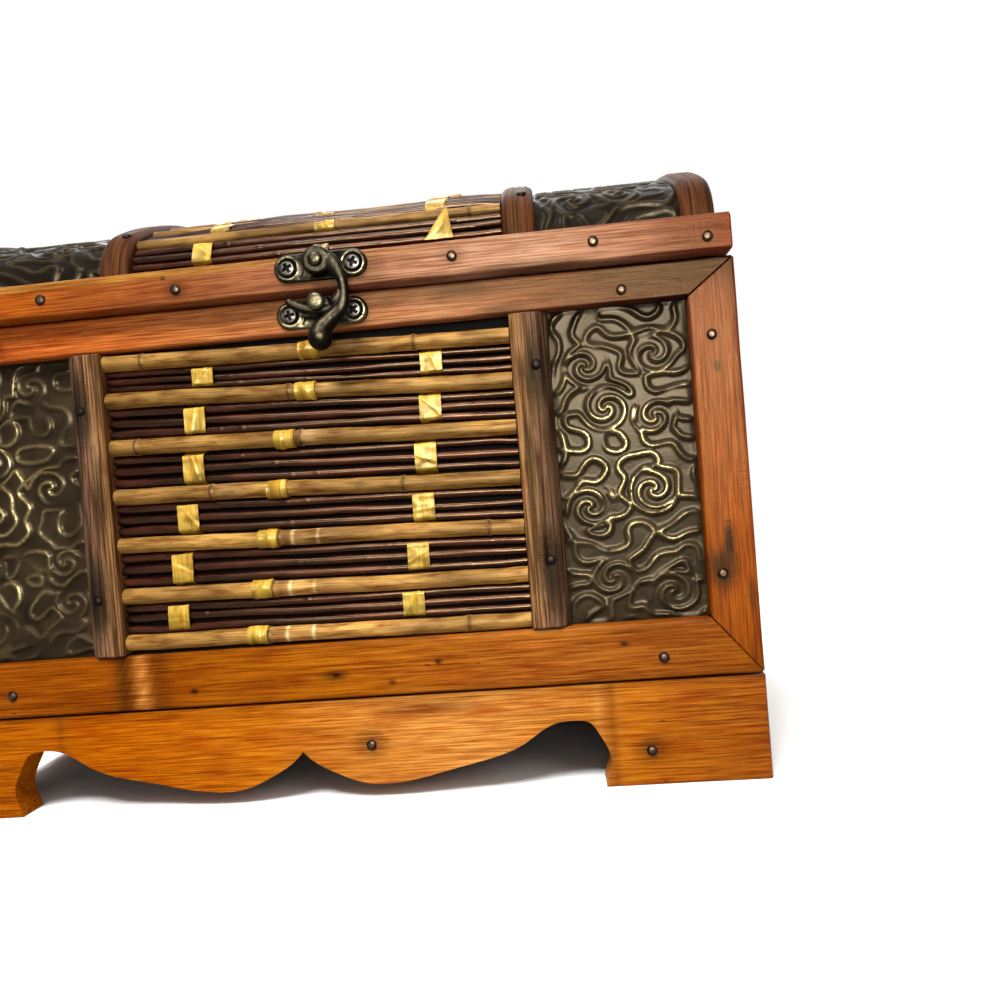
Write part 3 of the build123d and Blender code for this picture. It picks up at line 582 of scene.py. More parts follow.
def buildFrames():
    low, high, width = wall["baseLow"], wall["rim"], wall["stileWidth"]
    # the mitres run from the outer corners to the inner ones, steeper at the wide bottom rail
    topRate, baseRate = width / (high - wall["railLow"]), width / (wall["baseTop"] - low)
    for sideIndex, (side, place) in enumerate(onSide.items()):
        half = wall["longHalf"] if side in ("front", "back") else wall["shortHalf"]
        looks = frames["front" if side == "front" else "other"]

        def frameBar(name, start, stop, startAt, endAt, placeBar, number):
            section = barSection(start, stop, wall["frameThick"], frames["cornerRound"], step=0.6)
            return makeBar(section, startAt, endAt, placeBar, looks[name], 100 + sideIndex * 17 + number,
                           frames["wobble"], looks["bands"].get(name, ()), looks["spots"].get(name, ()))

        def topEnd(v):
            return half - (high - v) * topRate

        def bottomEnd(v):
            return half - (v - low) * baseRate

        topRail = frameBar("top_rail", wall["railLow"], high, lambda v: -topEnd(v), topEnd, place, 0)
        bottomRail = frameBar("bottom_rail", low, wall["baseTop"], lambda v: -bottomEnd(v), bottomEnd,
                              place, 1)
        stiles = [frameBar(name, start, start + width, lambda v: low + (half - np.abs(v)) / baseRate,
                           lambda v: high - (half - np.abs(v)) / topRate,
                           lambda u, v, w: place(v, u, w), number)
                  for name, start, number in (("left_stile", -half, 5), ("right_stile", half - width, 6))]
        buildPiece(f"{side}_top_rail_stick", [topRail], "box", "stained_wood", f"{side}_top_rail")
        buildPiece(f"{side}_bottom_rail_stick", [bottomRail], "box", "amber_wood", f"{side}_bottom_rail")
        buildPiece(f"{side}_stile_sticks", stiles, "box", "stained_wood", f"{side}_stiles")


buildFrames()
print("stage: frame sticks laid")

lidRails = {
    "low": 148.8, "high": 159.2, "half": 124.8, "sideWidth": 12.0, "cornerRound": 0.9, "wobble": 0.14,
    "sideWobble": 0.12,
    # inner and outer face
    "lid_front_rail": (-62.1, -76.5), "lid_back_rail": (70.3, 80.1),
    # the paler, greyer front from 20 to 70 is partly the stain and partly painted highlight
    "front": [(-125, "#a65416"), (-80, "#aa5917"), (-30, "#995c32"), (20, "#a37055"), (70, "#bd947e"),
              (125, "#802a0f")],
    "other": [(-125, "#965323"), (0, "#9c5920"), (125, "#8d4a20")],
    "spots": [(-37.5, 156.6, 0.9, 0.5, "#1c0c06", 0.9), (-34, 153, 3.6, 2.8, "#4e2414", 0.6),
              (24, 153.5, 5, 5, "#50342c", 0.5), (47, 154.5, 3.6, 2.8, "#5a3020", 0.5),
              (70, 149.8, 16, 1.5, "#2c160c", 0.7), (114, 154, 12, 5.5, "#4c200e", 0.45)],
}


def buildLidRails():
    low, high, half, width = (lidRails[name] for name in ("low", "high", "half", "sideWidth"))

    def wornTop(u, v):
        # the stain is rubbed off along the upper edge, least towards the right
        ragged = 0.5 * gradientNoise(u / 9, 0.5, 321) + 0.3 * gradientNoise(u / 2.5, 0.5, 322)
        return 0.75 * smoothStep(156.4, 157.4, v + ragged) * (1 - 0.85 * smoothStep(0, 45, u))

    for name, facing, seed, stops, spots, worn in (
            ("lid_front_rail", -1, 301, lidRails["front"], lidRails["spots"], wornTop),
            ("lid_back_rail", 1, 307, lidRails["other"], (), None)):
        inner, outer = lidRails[name]
        section = barSection(low, high, abs(outer - inner), lidRails["cornerRound"], step=0.6)
        rail = makeBar(section, always(-half), always(half),
                       lambda u, v, w: np.stack([u, inner + facing * w, v], -1), stops, seed,
                       lidRails["wobble"], spots=spots, worn=worn)
        buildPiece(name + "_stick", [rail], "lid", "stained_wood", name)
    start, stop = always(lidRails["lid_front_rail"][0]), always(lidRails["lid_back_rail"][0])
    section = barSection(low, high, width, lidRails["cornerRound"])
    sides = [makeBar(section, start, stop, lambda u, v, w: np.stack([facing * (half - width + w), u, v], -1),
                     lidRails["other"], seed, lidRails["sideWobble"])
             for facing, seed in ((-1, 311), (1, 312))]
    buildPiece("lid_side_rail_sticks", sides, "lid", "stained_wood", "lid_side_rails")


buildLidRails()

straps = {
    "starts": {"lid_left_end_strap": -121.7, "lid_left_inner_strap": -58.7,
               "lid_right_inner_strap": 61.5, "lid_right_end_strap": 112.0},
    "width": 9.7, "thick": 5.0, "endDrop": 1.0, "runOn": 0.1, "bevelWide": 1.7, "bevelDeep": 1.3,
    "cornerRound": 0.9, "wobble": 0.1,
    "stops": [(-2, "#60361b"), (18, "#4b280f"), (60, "#422710"), (120, "#46280e"), (200, "#50290e")],
    # v, depth, half width
    "grooves": [(1.9, 0.32, 0.3), (4.1, 0.22, 0.22), (6.6, 0.38, 0.3), (8.2, 0.2, 0.2)],
}


def buildStraps():
    width, bevelWide, bevelDeep = straps["width"], straps["bevelWide"], straps["bevelDeep"]
    for index, (name, start) in enumerate(straps["starts"].items()):
        seed = 401 + index * 9
        high = straps["thick"] - (straps["endDrop"] if "end" in name else 0)
        section = roundedSection([(0, 0), (width, 0), (width, high - bevelDeep), (width - bevelWide, high),
                                  (bevelWide, high), (0, high - bevelDeep)], straps["cornerRound"], step=0.42)

        def groove(u, v):
            depth = 0
            for k, (at, deep, halfWide) in enumerate(straps["grooves"]):
                drift = 0.5 * gradientNoise(u / 30, 0.5 + k, seed + k)
                fade = smoothStep(-0.5, 0.3, gradientNoise(u / 22, 3.5 + k, seed + 3))
                depth = depth + deep * fade * bell(v - at - drift, halfWide)
            return depth

        smoked = (dome["wholeWay"] / 2 + 20 * (index - 1.5), 14, "#3a2a22", 0.5)
        slat = makeBar(section, always(-straps["runOn"]), always(dome["wholeWay"] + straps["runOn"]),
                       lambda u, v, w: onDome(start + v, u, w), straps["stops"], seed, straps["wobble"],
                       [smoked], step=1.6, groove=groove)
        buildPiece(name + "_slat", [slat], "lid", "scorched_wood", name)


buildStraps()

battens = {
    "inner": 61.3, "outer": 72.5, "bevel": 3.0, "thick": 6.0, "low": 46.8, "high": 137.8, "cornerRound": 0.6,
    "wobble": 0.1, "grooveAt": (66.9, 63.6),
    "spots": [(121, 68.0, 12, 3.0, "#0e1114", 1.0), (65.5, 67.8, 13, 3.2, "#0c0f12", 1.0),
              (95, 64.5, 15, 1.6, "#2a2018", 0.6), (105, 71.6, 16, 1.0, "#1c1612", 0.6)],
    # from the inner edge to the outer
    "stops": [(61, "#a67948"), (64, "#a27b53"), (67, "#80614a"), (69.3, "#694e3e"), (70.5, "#7e614a"),
              (73, "#4a392c")],
}


def buildBattens():
    inner, outer, thick = battens["inner"], battens["outer"], battens["thick"]
    section = roundedSection([(inner, 0), (outer, 0), (outer, thick - battens["bevel"]),
                              (outer - battens["bevel"], thick), (inner, thick)],
                             battens["cornerRound"], step=0.5)
    bars = []
    for turn, seed in ((-1, 451), (1, 458)):
        def groove(u, v):
            drift = 0.35 * gradientNoise(u / 25, 0.5, seed)
            fade = smoothStep(-0.6, 0.2, gradientNoise(u / 18, 2.5, seed + 1))
            deep, shallow = (v - at - drift for at in battens["grooveAt"])
            return 0.45 * fade * bell(deep, 0.35) + 0.25 * bell(shallow, 0.3) * (1 - fade)
        bars.append(makeBar(section, always(battens["low"]), always(battens["high"]),
                            lambda u, v, w: onSide["front"](turn * v, u, w), battens["stops"], seed,
                            battens["wobble"], spots=battens["spots"], step=1.6, groove=groove,
                            stopsAcross=True))
    buildPiece("front_batten_slats", bars, "box", "scorched_wood", "front_battens")


buildBattens()
print("stage: lid rails, straps and battens laid")

skirts = {
    "cell": 2.0, "wobble": 0.16, "high": 29.5,
    "front": [(-126, "#b36907"), (-70, "#b96401"), (-20, "#c97815"), (40, "#e7a34e"), (88, "#c37618"),
              (126, "#9e5817")],
    "other": [(-126, "#a96414"), (0, "#b46b12"), (126, "#a15d14")],
    "spots": [(11.3, 16, 5.4, 4.2, "#6a3c22", 0.6), (92.5, 9.8, 5, 4, "#5a3218", 0.6),
              (-112, 13, 5, 4, "#5a3218", 0.6), (30, 26, 18, 2.2, "#6e4020", 0.6)],
    "bands": [(78, 1.4, "#d9a558", 0.45), (81.5, 1.2, "#6b3a12", 0.55), (-84, 1.5, "#6b3a12", 0.4)],
}


def cutInCells(node, level, cell):
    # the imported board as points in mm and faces, cut across in cells so that it can take stain and wander
    bm = bmesh.new()
    bm.from_mesh(nodes[node].data)
    bmesh.ops.remove_doubles(bm, verts=bm.verts, dist=1e-6)
    low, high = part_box(node)
    for axis in (level, Vector((0, 0, 1))):
        first, last = low.dot(axis), high.dot(axis)
        count = int((last - first) / (cell * mm))
        for k in range(1, count):
            everything = bm.verts[:] + bm.edges[:] + bm.faces[:]
            at = axis * (first + (last - first) * k / count)
            bmesh.ops.bisect_plane(bm, geom=everything, plane_co=at, plane_no=axis)
    bmesh.ops.triangulate(bm, faces=[face for face in bm.faces if len(face.verts) > 4])
    bm.verts.ensure_lookup_table()
    points = np.array([vert.co for vert in bm.verts]) / mm
    faces = [np.array([[vert.index for vert in face.verts] for face in bm.faces if len(face.verts) == count])
             for count in (4, 3)]
    bm.free()
    return points, faces


def buildSkirts():
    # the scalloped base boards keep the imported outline
    for index, (side, place) in enumerate(onSide.items()):
        level = Vector((1, 0, 0)) if side in ("front", "back") else Vector((0, 1, 0))
        points, faces = cutInCells(f"{side}_skirt", level, skirts["cell"])
        # back into the wall's own directions: along, up and outward from the frame's face
        thick = wall["frameThick"]
        origin = place(0.0, 0.0, thick)
        along, out = place(1.0, 0.0, thick) - origin, place(0.0, 0.0, thick + 1) - origin
        u, v, w = (points - origin) @ along, points[:, 2], (points - origin) @ out
        seed = 501 + index * 11
        sink = smoothStep(-2, 0, w) * skirts["wobble"] * (1 + gradientNoise(u / 24, v / 8, seed)) * 0.8
        points -= sink[:, None] * out
        if side == "front":
            stain = stainSpots(stainAlong(u, skirts["front"], skirts["bands"]), u, v, skirts["spots"])
        else:
            stain = stainAlong(u, skirts["other"])
        edge = np.clip(np.exp(-(skirts["high"] - v) / 0.9) * 0.9 + np.exp(-v / 0.8) * 0.6, 0, 1)
        grain = np.stack([u + seed * 9, v + seed * 3, w], -1) * mm
        board = shellPart(points, faces, grain=grain, stain=stain, edge=edge)
        buildPiece(f"{side}_skirt_board", [board], "box", "amber_wood", f"{side}_skirt")


buildSkirts()
print("stage: scalloped base cut")


# embossed leather

leather = {
    "cell": 0.4, "backCell": 0.6, "sideCell": 0.5, "lidCell": 0.48,
    # height of the sheet's face above its board, and how much darker the whole sheet is made, from 0 to 1; on
    # the lid this is painted shade
    "bodyLevel": 1.2, "lidLevel": 2.0, "endLevel": 1.0, "lidShade": 0.82, "endDarker": 0.2,
    # the pressed lines: the size of an island, its length for its width, and each line's own size
    "wave": 8.4, "stretch": 1.3, "lineWidth": 0.8, "lineHeight": 0.66, "puff": 0.2,
    "curlApart": 25.0, "curlPitch": 6.4, "curlReach": 8.5,
    # slow swells of the sheet, and how far in from its edges it lies flat and is made darker
    "swellApart": 12, "swellHigh": 0.14, "flatEdge": 1.6, "darkEdge": 1.2, "sunk": 0.2,
    "overlap": 0.2, "endBoard": 120.5, "sharp": 60,
}


def swirlHeights(u, v, stepU, stepV, seed):
    # raised lines that bound islands of one size and curl up at scattered points, all drawn by the seed
    rng = np.random.RandomState(seed)
    freqU = np.fft.fftfreq(u.shape[1], stepU)[None, :] * leather["stretch"]
    freqV = np.fft.fftfreq(u.shape[0], stepV)[:, None]
    ring = bell(np.hypot(freqU, freqV) * leather["wave"] - 1, 0.3)
    field = np.fft.ifft2(np.fft.fft2(rng.randn(*u.shape)) * ring).real
    field = field / field.std()
    lowU, lowV, wide, tall = u.min(), v.min(), np.ptp(u), np.ptp(v)
    columns, rows = (max(1, round(length / leather["curlApart"])) for length in (wide, tall))
    for column, row in ((column, row) for column in range(columns) for row in range(rows)):
        centreU = lowU + wide * (column + rng.uniform(0.25, 0.75)) / columns
        centreV = lowV + tall * (row + rng.uniform(0.25, 0.75)) / rows
        far = np.hypot((u - centreU) / 1.12, v - centreV)
        around = np.arctan2(v - centreV, u - centreU) * rng.choice([-1, 1])
        curl = 1.2 * np.cos(2 * math.pi * far / leather["curlPitch"] - around + rng.uniform(0, 6))
        reach = leather["curlReach"] * rng.uniform(0.6, 1.1)
        share = smoothStep(reach, reach * 0.6, far)
        field = field * (1 - share) + curl * share
    slopeV, slopeU = np.gradient(field, stepV, stepU)
    away = np.abs(field) / np.maximum(np.hypot(slopeU, slopeV), 0.3)
    broken = 0.25 + 0.75 * smoothStep(-0.7, -0.1, gradientNoise(u / 9, v / 9, seed + 5))
    return bell(away, leather["lineWidth"]) * broken, field


def makeSheet(u, v, heights, place, seed):
    # a pressed sheet: u along rows, v from row to row, heights above the board, closed underneath
    gridU, gridV = np.meshgrid(u, v)
    rows, columns = heights.shape
    size = rows * columns
    k = np.arange(rows - 1)
    left, right, leftLow, rightLow = k * columns, (k + 1) * columns - 1, size + k, size + rows + k
    walls = [(leftLow, leftLow + 1, rightLow + 1, rightLow), (left, left + columns, leftLow + 1, leftLow),
             (right, rightLow, rightLow + 1, right + columns)]
    firstEnd = list(range(columns)) + [size + rows, size]
    lastEnd = list(range(size - columns, size)) + [size + 2 * rows - 1, size + rows - 1]
    faces = [gridFaces(rows, columns)] + [np.stack(quad, -1) for quad in walls] + [firstEnd, lastEnd[::-1]]
    flat = [np.stack([gridU, gridV, heights], -1).reshape(-1, 3)]
    flat += [np.stack([np.full(rows, edge), v, np.zeros(rows)], -1) for edge in (u[0], u[-1])]
    flat = np.concatenate(flat)
    return place(flat[:, 0], flat[:, 1], flat[:, 2]), faces, (flat + seed) * mm


def leatherSheet(lowU, highU, lowV, highV, place, seed, cell, level, outline=None, darkerAll=0.0):
    # outline gives the sheet's top at each u where that is not straight
    u, v = (np.linspace(low, high, max(3, int((high - low) / cell)))
            for low, high in ((lowU, highU), (lowV, highV)))
    gridU, gridV = np.meshgrid(u, v)
    ridge, field = swirlHeights(gridU, gridV, u[1] - u[0], v[1] - v[0], seed)
    top = highV if outline is None else outline(gridU)
    edge = np.minimum(np.minimum(gridU - lowU, highU - gridU), np.minimum(gridV - lowV, top - gridV))
    calm, apart = smoothStep(0, leather["flatEdge"], edge), leather["swellApart"]
    swell = leather["swellHigh"] * gradientNoise(gridU / apart, gridV / apart, seed + 8)
    swell = swell + leather["puff"] * np.tanh(1.5 * field)
    heights = level - leather["sunk"] + calm * (leather["lineHeight"] * ridge + swell)
    points, faces, grain = makeSheet(u, v, heights, place, seed)
    # brass is left on the ridges in the middle of the sheet; painted shade darkens the hollows beside the
    # ridges and, on the lid, the whole sheet, and the sheet is darker along its edges
    middle = np.exp(-((gridU - (lowU + highU) / 2) / (0.36 * (highU - lowU))) ** 2
                    - ((gridV - (lowV + highV) / 2) / (0.3 * (highV - lowV))) ** 2)
    patch = smoothStep(0.2, 0.9, 0.5 * gradientNoise(gridU / 14, gridV / 12, seed + 9) + middle)
    rub = smoothStep(0.4, 0.95, ridge) * (0.12 + 0.88 * patch) * calm
    # painted shade in the hollows beside the ridges and an even darkening of the whole sheet, painted shade
    # on the lid, darker still near the edges
    hollow = (1 - smoothStep(0.0, 0.4, ridge)) * 0.25 * calm + darkerAll
    hollow = hollow + 0.7 * (1 - smoothStep(0, leather["darkEdge"], edge))
    under = len(points) - rub.size
    return shellPart(points, faces, grain=grain, rub=np.append(rub, np.zeros(under)),
                     hollow=np.append(np.clip(hollow, 0, 1), np.ones(under)))


def domeTop(y):
    # outline of the lid's end boards, inside the straps
    side, top = dome["sideRadius"] - straps["thick"], dome["topRadius"] - straps["thick"]
    over = np.sqrt(np.clip(top ** 2 - y ** 2, 0, None)) + dome["centreZ"]
    beside = np.sqrt(np.clip(side ** 2 - (np.abs(y) - dome["sideY"]) ** 2, 0, None)) + dome["sideZ"]
    turnY = dome["sideY"] + side * math.sin(dome["turn"])
    return np.where(np.abs(y) < turnY, over, beside)


def buildLeathers():
    longHalf, shortHalf = wall["longHalf"] - wall["stileWidth"], wall["shortHalf"] - wall["stileWidth"]
    for name, side, lowU, highU, seed, cell in (
            ("front_left_leather", "front", -longHalf, -battens["outer"], 601, "cell"),
            ("front_right_leather", "front", battens["outer"], longHalf, 611, "cell"),
            ("back_leather", "back", -longHalf, longHalf, 621, "backCell"),
            ("left_leather", "left", -shortHalf, shortHalf, 631, "sideCell"),
            ("right_leather", "right", -shortHalf, shortHalf, 641, "sideCell")):
        sheet = leatherSheet(lowU, highU, wall["baseTop"], wall["railLow"], onSide[side], seed, leather[cell],
                             leather["bodyLevel"])
        buildPiece(name + "_sheet", [sheet], "box", "embossed_leather", name, sharp=leather["sharp"])
    starts, width = straps["starts"], straps["width"]
    for name, before, after, seed in (("left", "lid_left_end_strap", "lid_left_inner_strap", 651),
                                      ("right", "lid_right_inner_strap", "lid_right_end_strap", 661)):
        sheet = leatherSheet(starts[before] + width, starts[after], -leather["overlap"],
                             dome["wholeWay"] + leather["overlap"], onDome, seed, leather["lidCell"],
                             leather["lidLevel"], darkerAll=leather["lidShade"])
        buildPiece(f"lid_{name}_leather_sheet", [sheet], "lid", "embossed_leather", "lid_leathers",
                   sharp=leather["sharp"])
    # the two skins on the ends of the lid
    low, inner = dome["railTop"], dome["sideRadius"] - straps["thick"]
    half = dome["sideY"] + math.sqrt(inner ** 2 - (low - dome["sideZ"]) ** 2)
    skins = []
    for facing, seed in ((-1, 671), (1, 681)):
        def onEnd(y, z, w):
            z = np.minimum(z, domeTop(y))
            return np.stack([facing * (leather["endBoard"] + w), dome["middleY"] + facing * y, z], -1)
        skins.append(leatherSheet(-half, half, low, float(domeTop(0.0)), onEnd, seed, leather["sideCell"],
                                  leather["endLevel"], domeTop, leather["endDarker"]))
    buildPiece("lid_end_leather_skins", skins, "lid", "embossed_leather", "lid_end_leathers",
               sharp=leather["sharp"])


buildLeathers()
print("stage: leather pressed")


# canes, twigs and straw ties

stem = {
    # how long its bends and swellings are along it, and how far from its ends it settles straight
    "sway": 40, "bow": 55, "kink": 17, "swell": 15, "shade": 24, "settle": 8,
    # rings are this close around a node and a torn sheath edge
    "nodeReach": 1.8, "sheathReach": 1.0,
}


def stickPart(start, end, radius, look, seed, rings, sides, sheaths=(), step=2.2, push=None):
    # a stem from start to end in mm with a slow bend, swollen dark nodes at rings and leaf sheaths as bands;
    # push moves its points by a vector for each way along it
    start, end = np.array(start, float), np.array(end, float)
    length = np.linalg.norm(end - start)
    along = (end - start) / length
    close = np.linspace(-1, 1, 9)
    ways = [np.linspace(0, length, int(length / step))] + [at + close * stem["nodeReach"] for at in rings]
    ways += [sheath[0] + close * stem["sheathReach"] for sheath in sheaths if sheath[1] < 1]
    ways = np.unique(np.concatenate(ways))
    ways = ways[(ways >= 0) & (ways <= length)]

    def drift(kind, number):
        return gradientNoise(ways / stem[kind], 0.5, seed + number)

    line = start + (end - start) * (ways / length)[:, None]
    if push is not None:
        line = line + push(ways)
    settle = smoothStep(0, stem["settle"], ways) * smoothStep(0, stem["settle"], length - ways)
    line[:, 1] -= settle * look["bend"] * 0.35 * drift("sway", 0)
    lift = settle * look["bend"] * (drift("bow", 1) + 0.4 * drift("kink", 2))
    size = radius * (1 - look["taper"] * (ways / length) + 0.04 * drift("swell", 3))
    dark, bright = look["colours"]
    colour = stainAlong(ways, [(0, dark), (length, dark)])
    colour = tinted(colour, smoothStep(-0.5, 0.5, drift("shade", 4)), bright)
    for at, width, code, strength in sheaths:
        colour = tinted(colour, strength * bell(ways - at, width), code)
    for at in rings:
        swelling = 0.13 * bell(ways - at, 0.8) - 0.06 * bell(ways - at - 0.9, 0.35)
        size = size + radius * look["knuckle"] * swelling
        colour = tinted(colour, 0.85 * bell(ways - at, 0.42), look["nodeColour"])
    turn = np.linspace(0, 2 * math.pi, sides, endpoint=False)
    cosine, sine = np.cos(turn)[None, :, None], np.sin(turn)[None, :, None]
    uneven = 1 + 0.035 * gradientNoise(ways[:, None] / 12, np.cos(turn)[None, :] * 2 + 9, seed + 5)
    first = np.cross(along, (0, 1, 0))
    first /= np.linalg.norm(first)
    second = np.cross(along, first)
    centre = (line - lift[:, None] * first)[:, None, :]
    points = centre + (size[:, None] * uneven)[..., None] * (cosine * first + sine * second)
    flat = np.broadcast_to(ways[:, None, None] + seed * 13, (len(ways), sides, 1))
    grain = np.concatenate([flat, cosine * radius + 0 * flat, sine * radius + 0 * flat], -1)
    return shellPart(points, capped(len(ways), sides), grain=grain.reshape(-1, 3) * mm,
                     stain=np.repeat(colour, sides, axis=0))


cane = {
    "radius": 2.3, "bark": 0.1, "y": -69.3, "half": 61.1, "sides": 20, "step": 1.6,
    # height of each cane at its left and right end, from the top down, and how much lighter it is painted:
    # more for the lower canes, painted light where the lamps reach less
    "heights": [(134.9, 132.1), (123.6, 119.3), (109.4, 105.6), (94.6, 90.9), (79.9, 76.5), (64.4, 62.6),
                (50.4, 49.3)],
    "paintedLight": [1.06, 1.08, 1.12, 1.18, 1.25, 1.35, 1.5], "palest": 0.8,
    "nodes": [[94.3, 12], [56.0], [58.5, 8], [30.0, 88], [49.5, 112], [46.5], [44.0, 104]],
    # sheaths of old leaves by the nodes: a dark strip, then a tan one with torn pale edges
    "sheaths": [
        [(70, 9, "#6a4c2c", 0.4)],
        [(67.5, 4.5, "#c9a869", 0.6)],
        [(57.4, 0.5, "#3a2414", 0.8), (61, 3.0, "#b89468", 0.6)],
        [(36, 5, "#b09060", 0.4)],
        [(51.8, 1.9, "#5e4024", 0.75), (53.7, 0.5, "#e0c890", 0.9), (57.5, 3.0, "#b0905c", 0.4),
         (61.3, 0.5, "#e0c890", 0.85), (66, 4, "#6e4c30", 0.6)],
        [(49.1, 2.2, "#5e4024", 0.7), (51.7, 0.5, "#e8d098", 0.9), (55.3, 3.0, "#b4925c", 0.45),
         (59.0, 0.5, "#e8d098", 0.85), (63, 4, "#6e4c30", 0.55)],
        [(47.0, 2.3, "#7c5030", 0.6), (49.8, 0.5, "#ecd8a0", 0.8), (53.7, 3.2, "#c89a5c", 0.5),
         (57.7, 0.5, "#ecd8a0", 0.75)]],
    "look": {"bend": 0.35, "taper": 0.05, "colours": ("#8c6a36", "#b88e4b"), "nodeColour": "#3a2614",
             "knuckle": 1.0},
}
twig = {
    "y": -68.8, "largest": 1.4, "nodesFrom": 6, "nodesTo": 116, "sides": 12,
    "look": {"bend": 0.42, "taper": 0.1, "colours": ("#220d09", "#401c13"), "nodeColour": "#2a1612",
             "knuckle": 0.35},
}


def caneHeight(index, x):
    leftZ, rightZ = cane["heights"][index]
    return leftZ + (rightZ - leftZ) * (x + cane["half"]) / (2 * cane["half"])


def buildFrontMat():
    half = cane["half"]
    canes = []
    for index, (leftZ, rightZ) in enumerate(cane["heights"]):
        part = stickPart((-half, cane["y"], leftZ), (half, cane["y"], rightZ), cane["radius"] + cane["bark"],
                         cane["look"], 701 + 7 * index, cane["nodes"][index], cane["sides"],
                         cane["sheaths"][index], cane["step"])
        # painted light: each cane's colour is raised by its share, the lower ones most, no channel above
        # palest
        part["marks"]["stain"] = np.minimum(part["marks"]["stain"] * cane["paintedLight"][index], cane["palest"])
        canes.append(part)
    buildPiece("front_cane_stems", canes, "box", "cane", "front_canes")
    # three twigs share each gap between two canes
    twigs = []
    for gap, (above, below) in enumerate(zip(cane["heights"], cane["heights"][1:])):
        gaps = [(upper - lower - 2 * cane["radius"]) / 3 for upper, lower in zip(above, below)]
        radius = min(twig["largest"], min(gaps) / 2 - 0.02)
        for place in (-1, 0, 1):
            seed = 801 + gap * 31 + place * 5
            rng = np.random.RandomState(seed)
            start, end = ((x, twig["y"], (above[i] + below[i]) / 2 + place * gaps[i])
                          for i, x in ((0, -half), (1, half)))
            rings = sorted(rng.uniform(twig["nodesFrom"], twig["nodesTo"], 2))
            twigs.append(stickPart(start, end, radius * rng.uniform(0.88, 1.04), twig["look"], seed, rings,
                                   twig["sides"]))
    buildPiece("front_twig_stems", twigs, "box", "twig", "front_twigs")


buildFrontMat()

tie = {
    "width": 6.4, "caneWidth": 6.0, "thick": 0.35, "fold": 0.22, "columns": 19, "rows": 24, "sharp": 50,
    # x of the two ties on each bundle of twigs, and of the one on each cane, from the top down
    "twigColumns": [(-31.0, 37.8), (-34.5, 36.5), (-36.0, 34.0), (-39.0, 32.2), (-42.0, 29.5), (-44.5, 27.0)],
    "caneAt": [2.0, 0.0, -7.5, -11.0, -15.0, -18.0, -20.5],
    "reach": 1.9, "stand": 0.12, "twigUp": (0.9, 2.75), "tuck": 1.6,
    # olive and gold, mixed over each tie by painted light and shade
    "dark": "#8a7420", "bright": "#dab648",
}


def strapOver(x, lowV, highV, place, heightAt, seed, width, lean=0.0, taper=0.0):
    # a flat straw across a bundle: v runs over the bundle, heightAt gives how high it lies,
    # and a slanting crease stands up from it
    rows, columns = tie["rows"], tie["columns"]
    gridU, gridV = np.meshgrid(np.linspace(-width / 2, width / 2, columns), np.linspace(lowV, highV, rows))
    middle, length = (lowV + highV) / 2, highV - lowV
    crease = (0.06 * gradientNoise(gridU / 1.5 + seed, gridV / 1.3, seed)
              + 0.2 * gradientNoise(gridU / 3.4, gridV / 3, seed + 1))
    across = gridU * math.cos(seed) + (gridV - middle) * math.sin(seed) - 0.8 * math.sin(3 * seed)
    crease = crease + tie["fold"] * np.maximum(0, 1 - np.abs(across) / 0.6)
    heights = heightAt(gridV) + crease
    leanedU = x + gridU * (1 - taper * (gridV - lowV) / length) + lean * (gridV - middle)
    points = np.concatenate([place(leanedU, gridV, heights - down).reshape(-1, 3)
                             for down in (0.0, tie["thick"])])
    numbers = np.arange(rows * columns).reshape(rows, columns)
    rim = np.concatenate([numbers[0, :-1], numbers[:-1, -1], numbers[-1, :0:-1], numbers[:0:-1, 0]])
    after, size = np.roll(rim, -1), numbers.size
    quads = gridFaces(rows, columns)
    faces = [quads, quads[:, ::-1] + size, np.stack([rim, after, after + size, rim + size], -1)]
    # painted light and shade: gold towards the top of each tie and on its crease crests, olive towards its
    # foot, with random patches
    shade = smoothStep(-0.8, 0.7, 0.7 * gradientNoise(gridU / 4, gridV / 3, seed + 2) + 1.4 * crease
                       + 1.2 * (gridV - middle) / length).ravel()
    colour = tinted(np.tile(linearColour(tie["dark"])[:3], (size, 1)), shade, tie["bright"])
    grain = np.stack([gridV + seed * 7, gridU, heights], -1).reshape(-1, 3) * mm
    return shellPart(points, faces, grain=np.tile(grain, (2, 1)), stain=np.tile(colour, (2, 1)))


def tucked(v, low, high, soft):
    # 1 over a bundle, falling to 0 where the straw goes down at both ends
    return smoothStep(0, soft, v - low) * smoothStep(0, soft, high - v)


def buildFrontTies():
    parts = []
    over, (foot, rise) = cane["radius"] - 0.2, tie["twigUp"]
    for gap, columns in enumerate(tie["twigColumns"]):
        for k, x in enumerate(columns):
            low, high = caneHeight(gap + 1, x) + over, caneHeight(gap, x) - over
            parts.append(strapOver(x, low, high, onSide["front"],
                                   lambda v: foot + rise * tucked(v, low, high, tie["tuck"]),
                                   901 + gap * 13 + k, tie["width"],
                                   lean=0.08 * gradientNoise(gap * 1.7 + 0.3, k + 0.5, 77)))
    r = cane["radius"] + tie["thick"]
    for index, x in enumerate(tie["caneAt"]):
        z = caneHeight(index, x)

        def roundCane(u, angle, w):
            return np.stack([u, cane["y"] - (r + w) * np.cos(angle), z + (r + w) * np.sin(angle)], -1)

        parts.append(strapOver(x, -tie["reach"], tie["reach"], roundCane, lambda v: 0 * v + tie["stand"],
                               951 + index * 5, tie["caneWidth"]))
    buildPiece("front_straw_ties", parts, "box", "straw", "front_ties", sharp=tie["sharp"])


buildFrontTies()

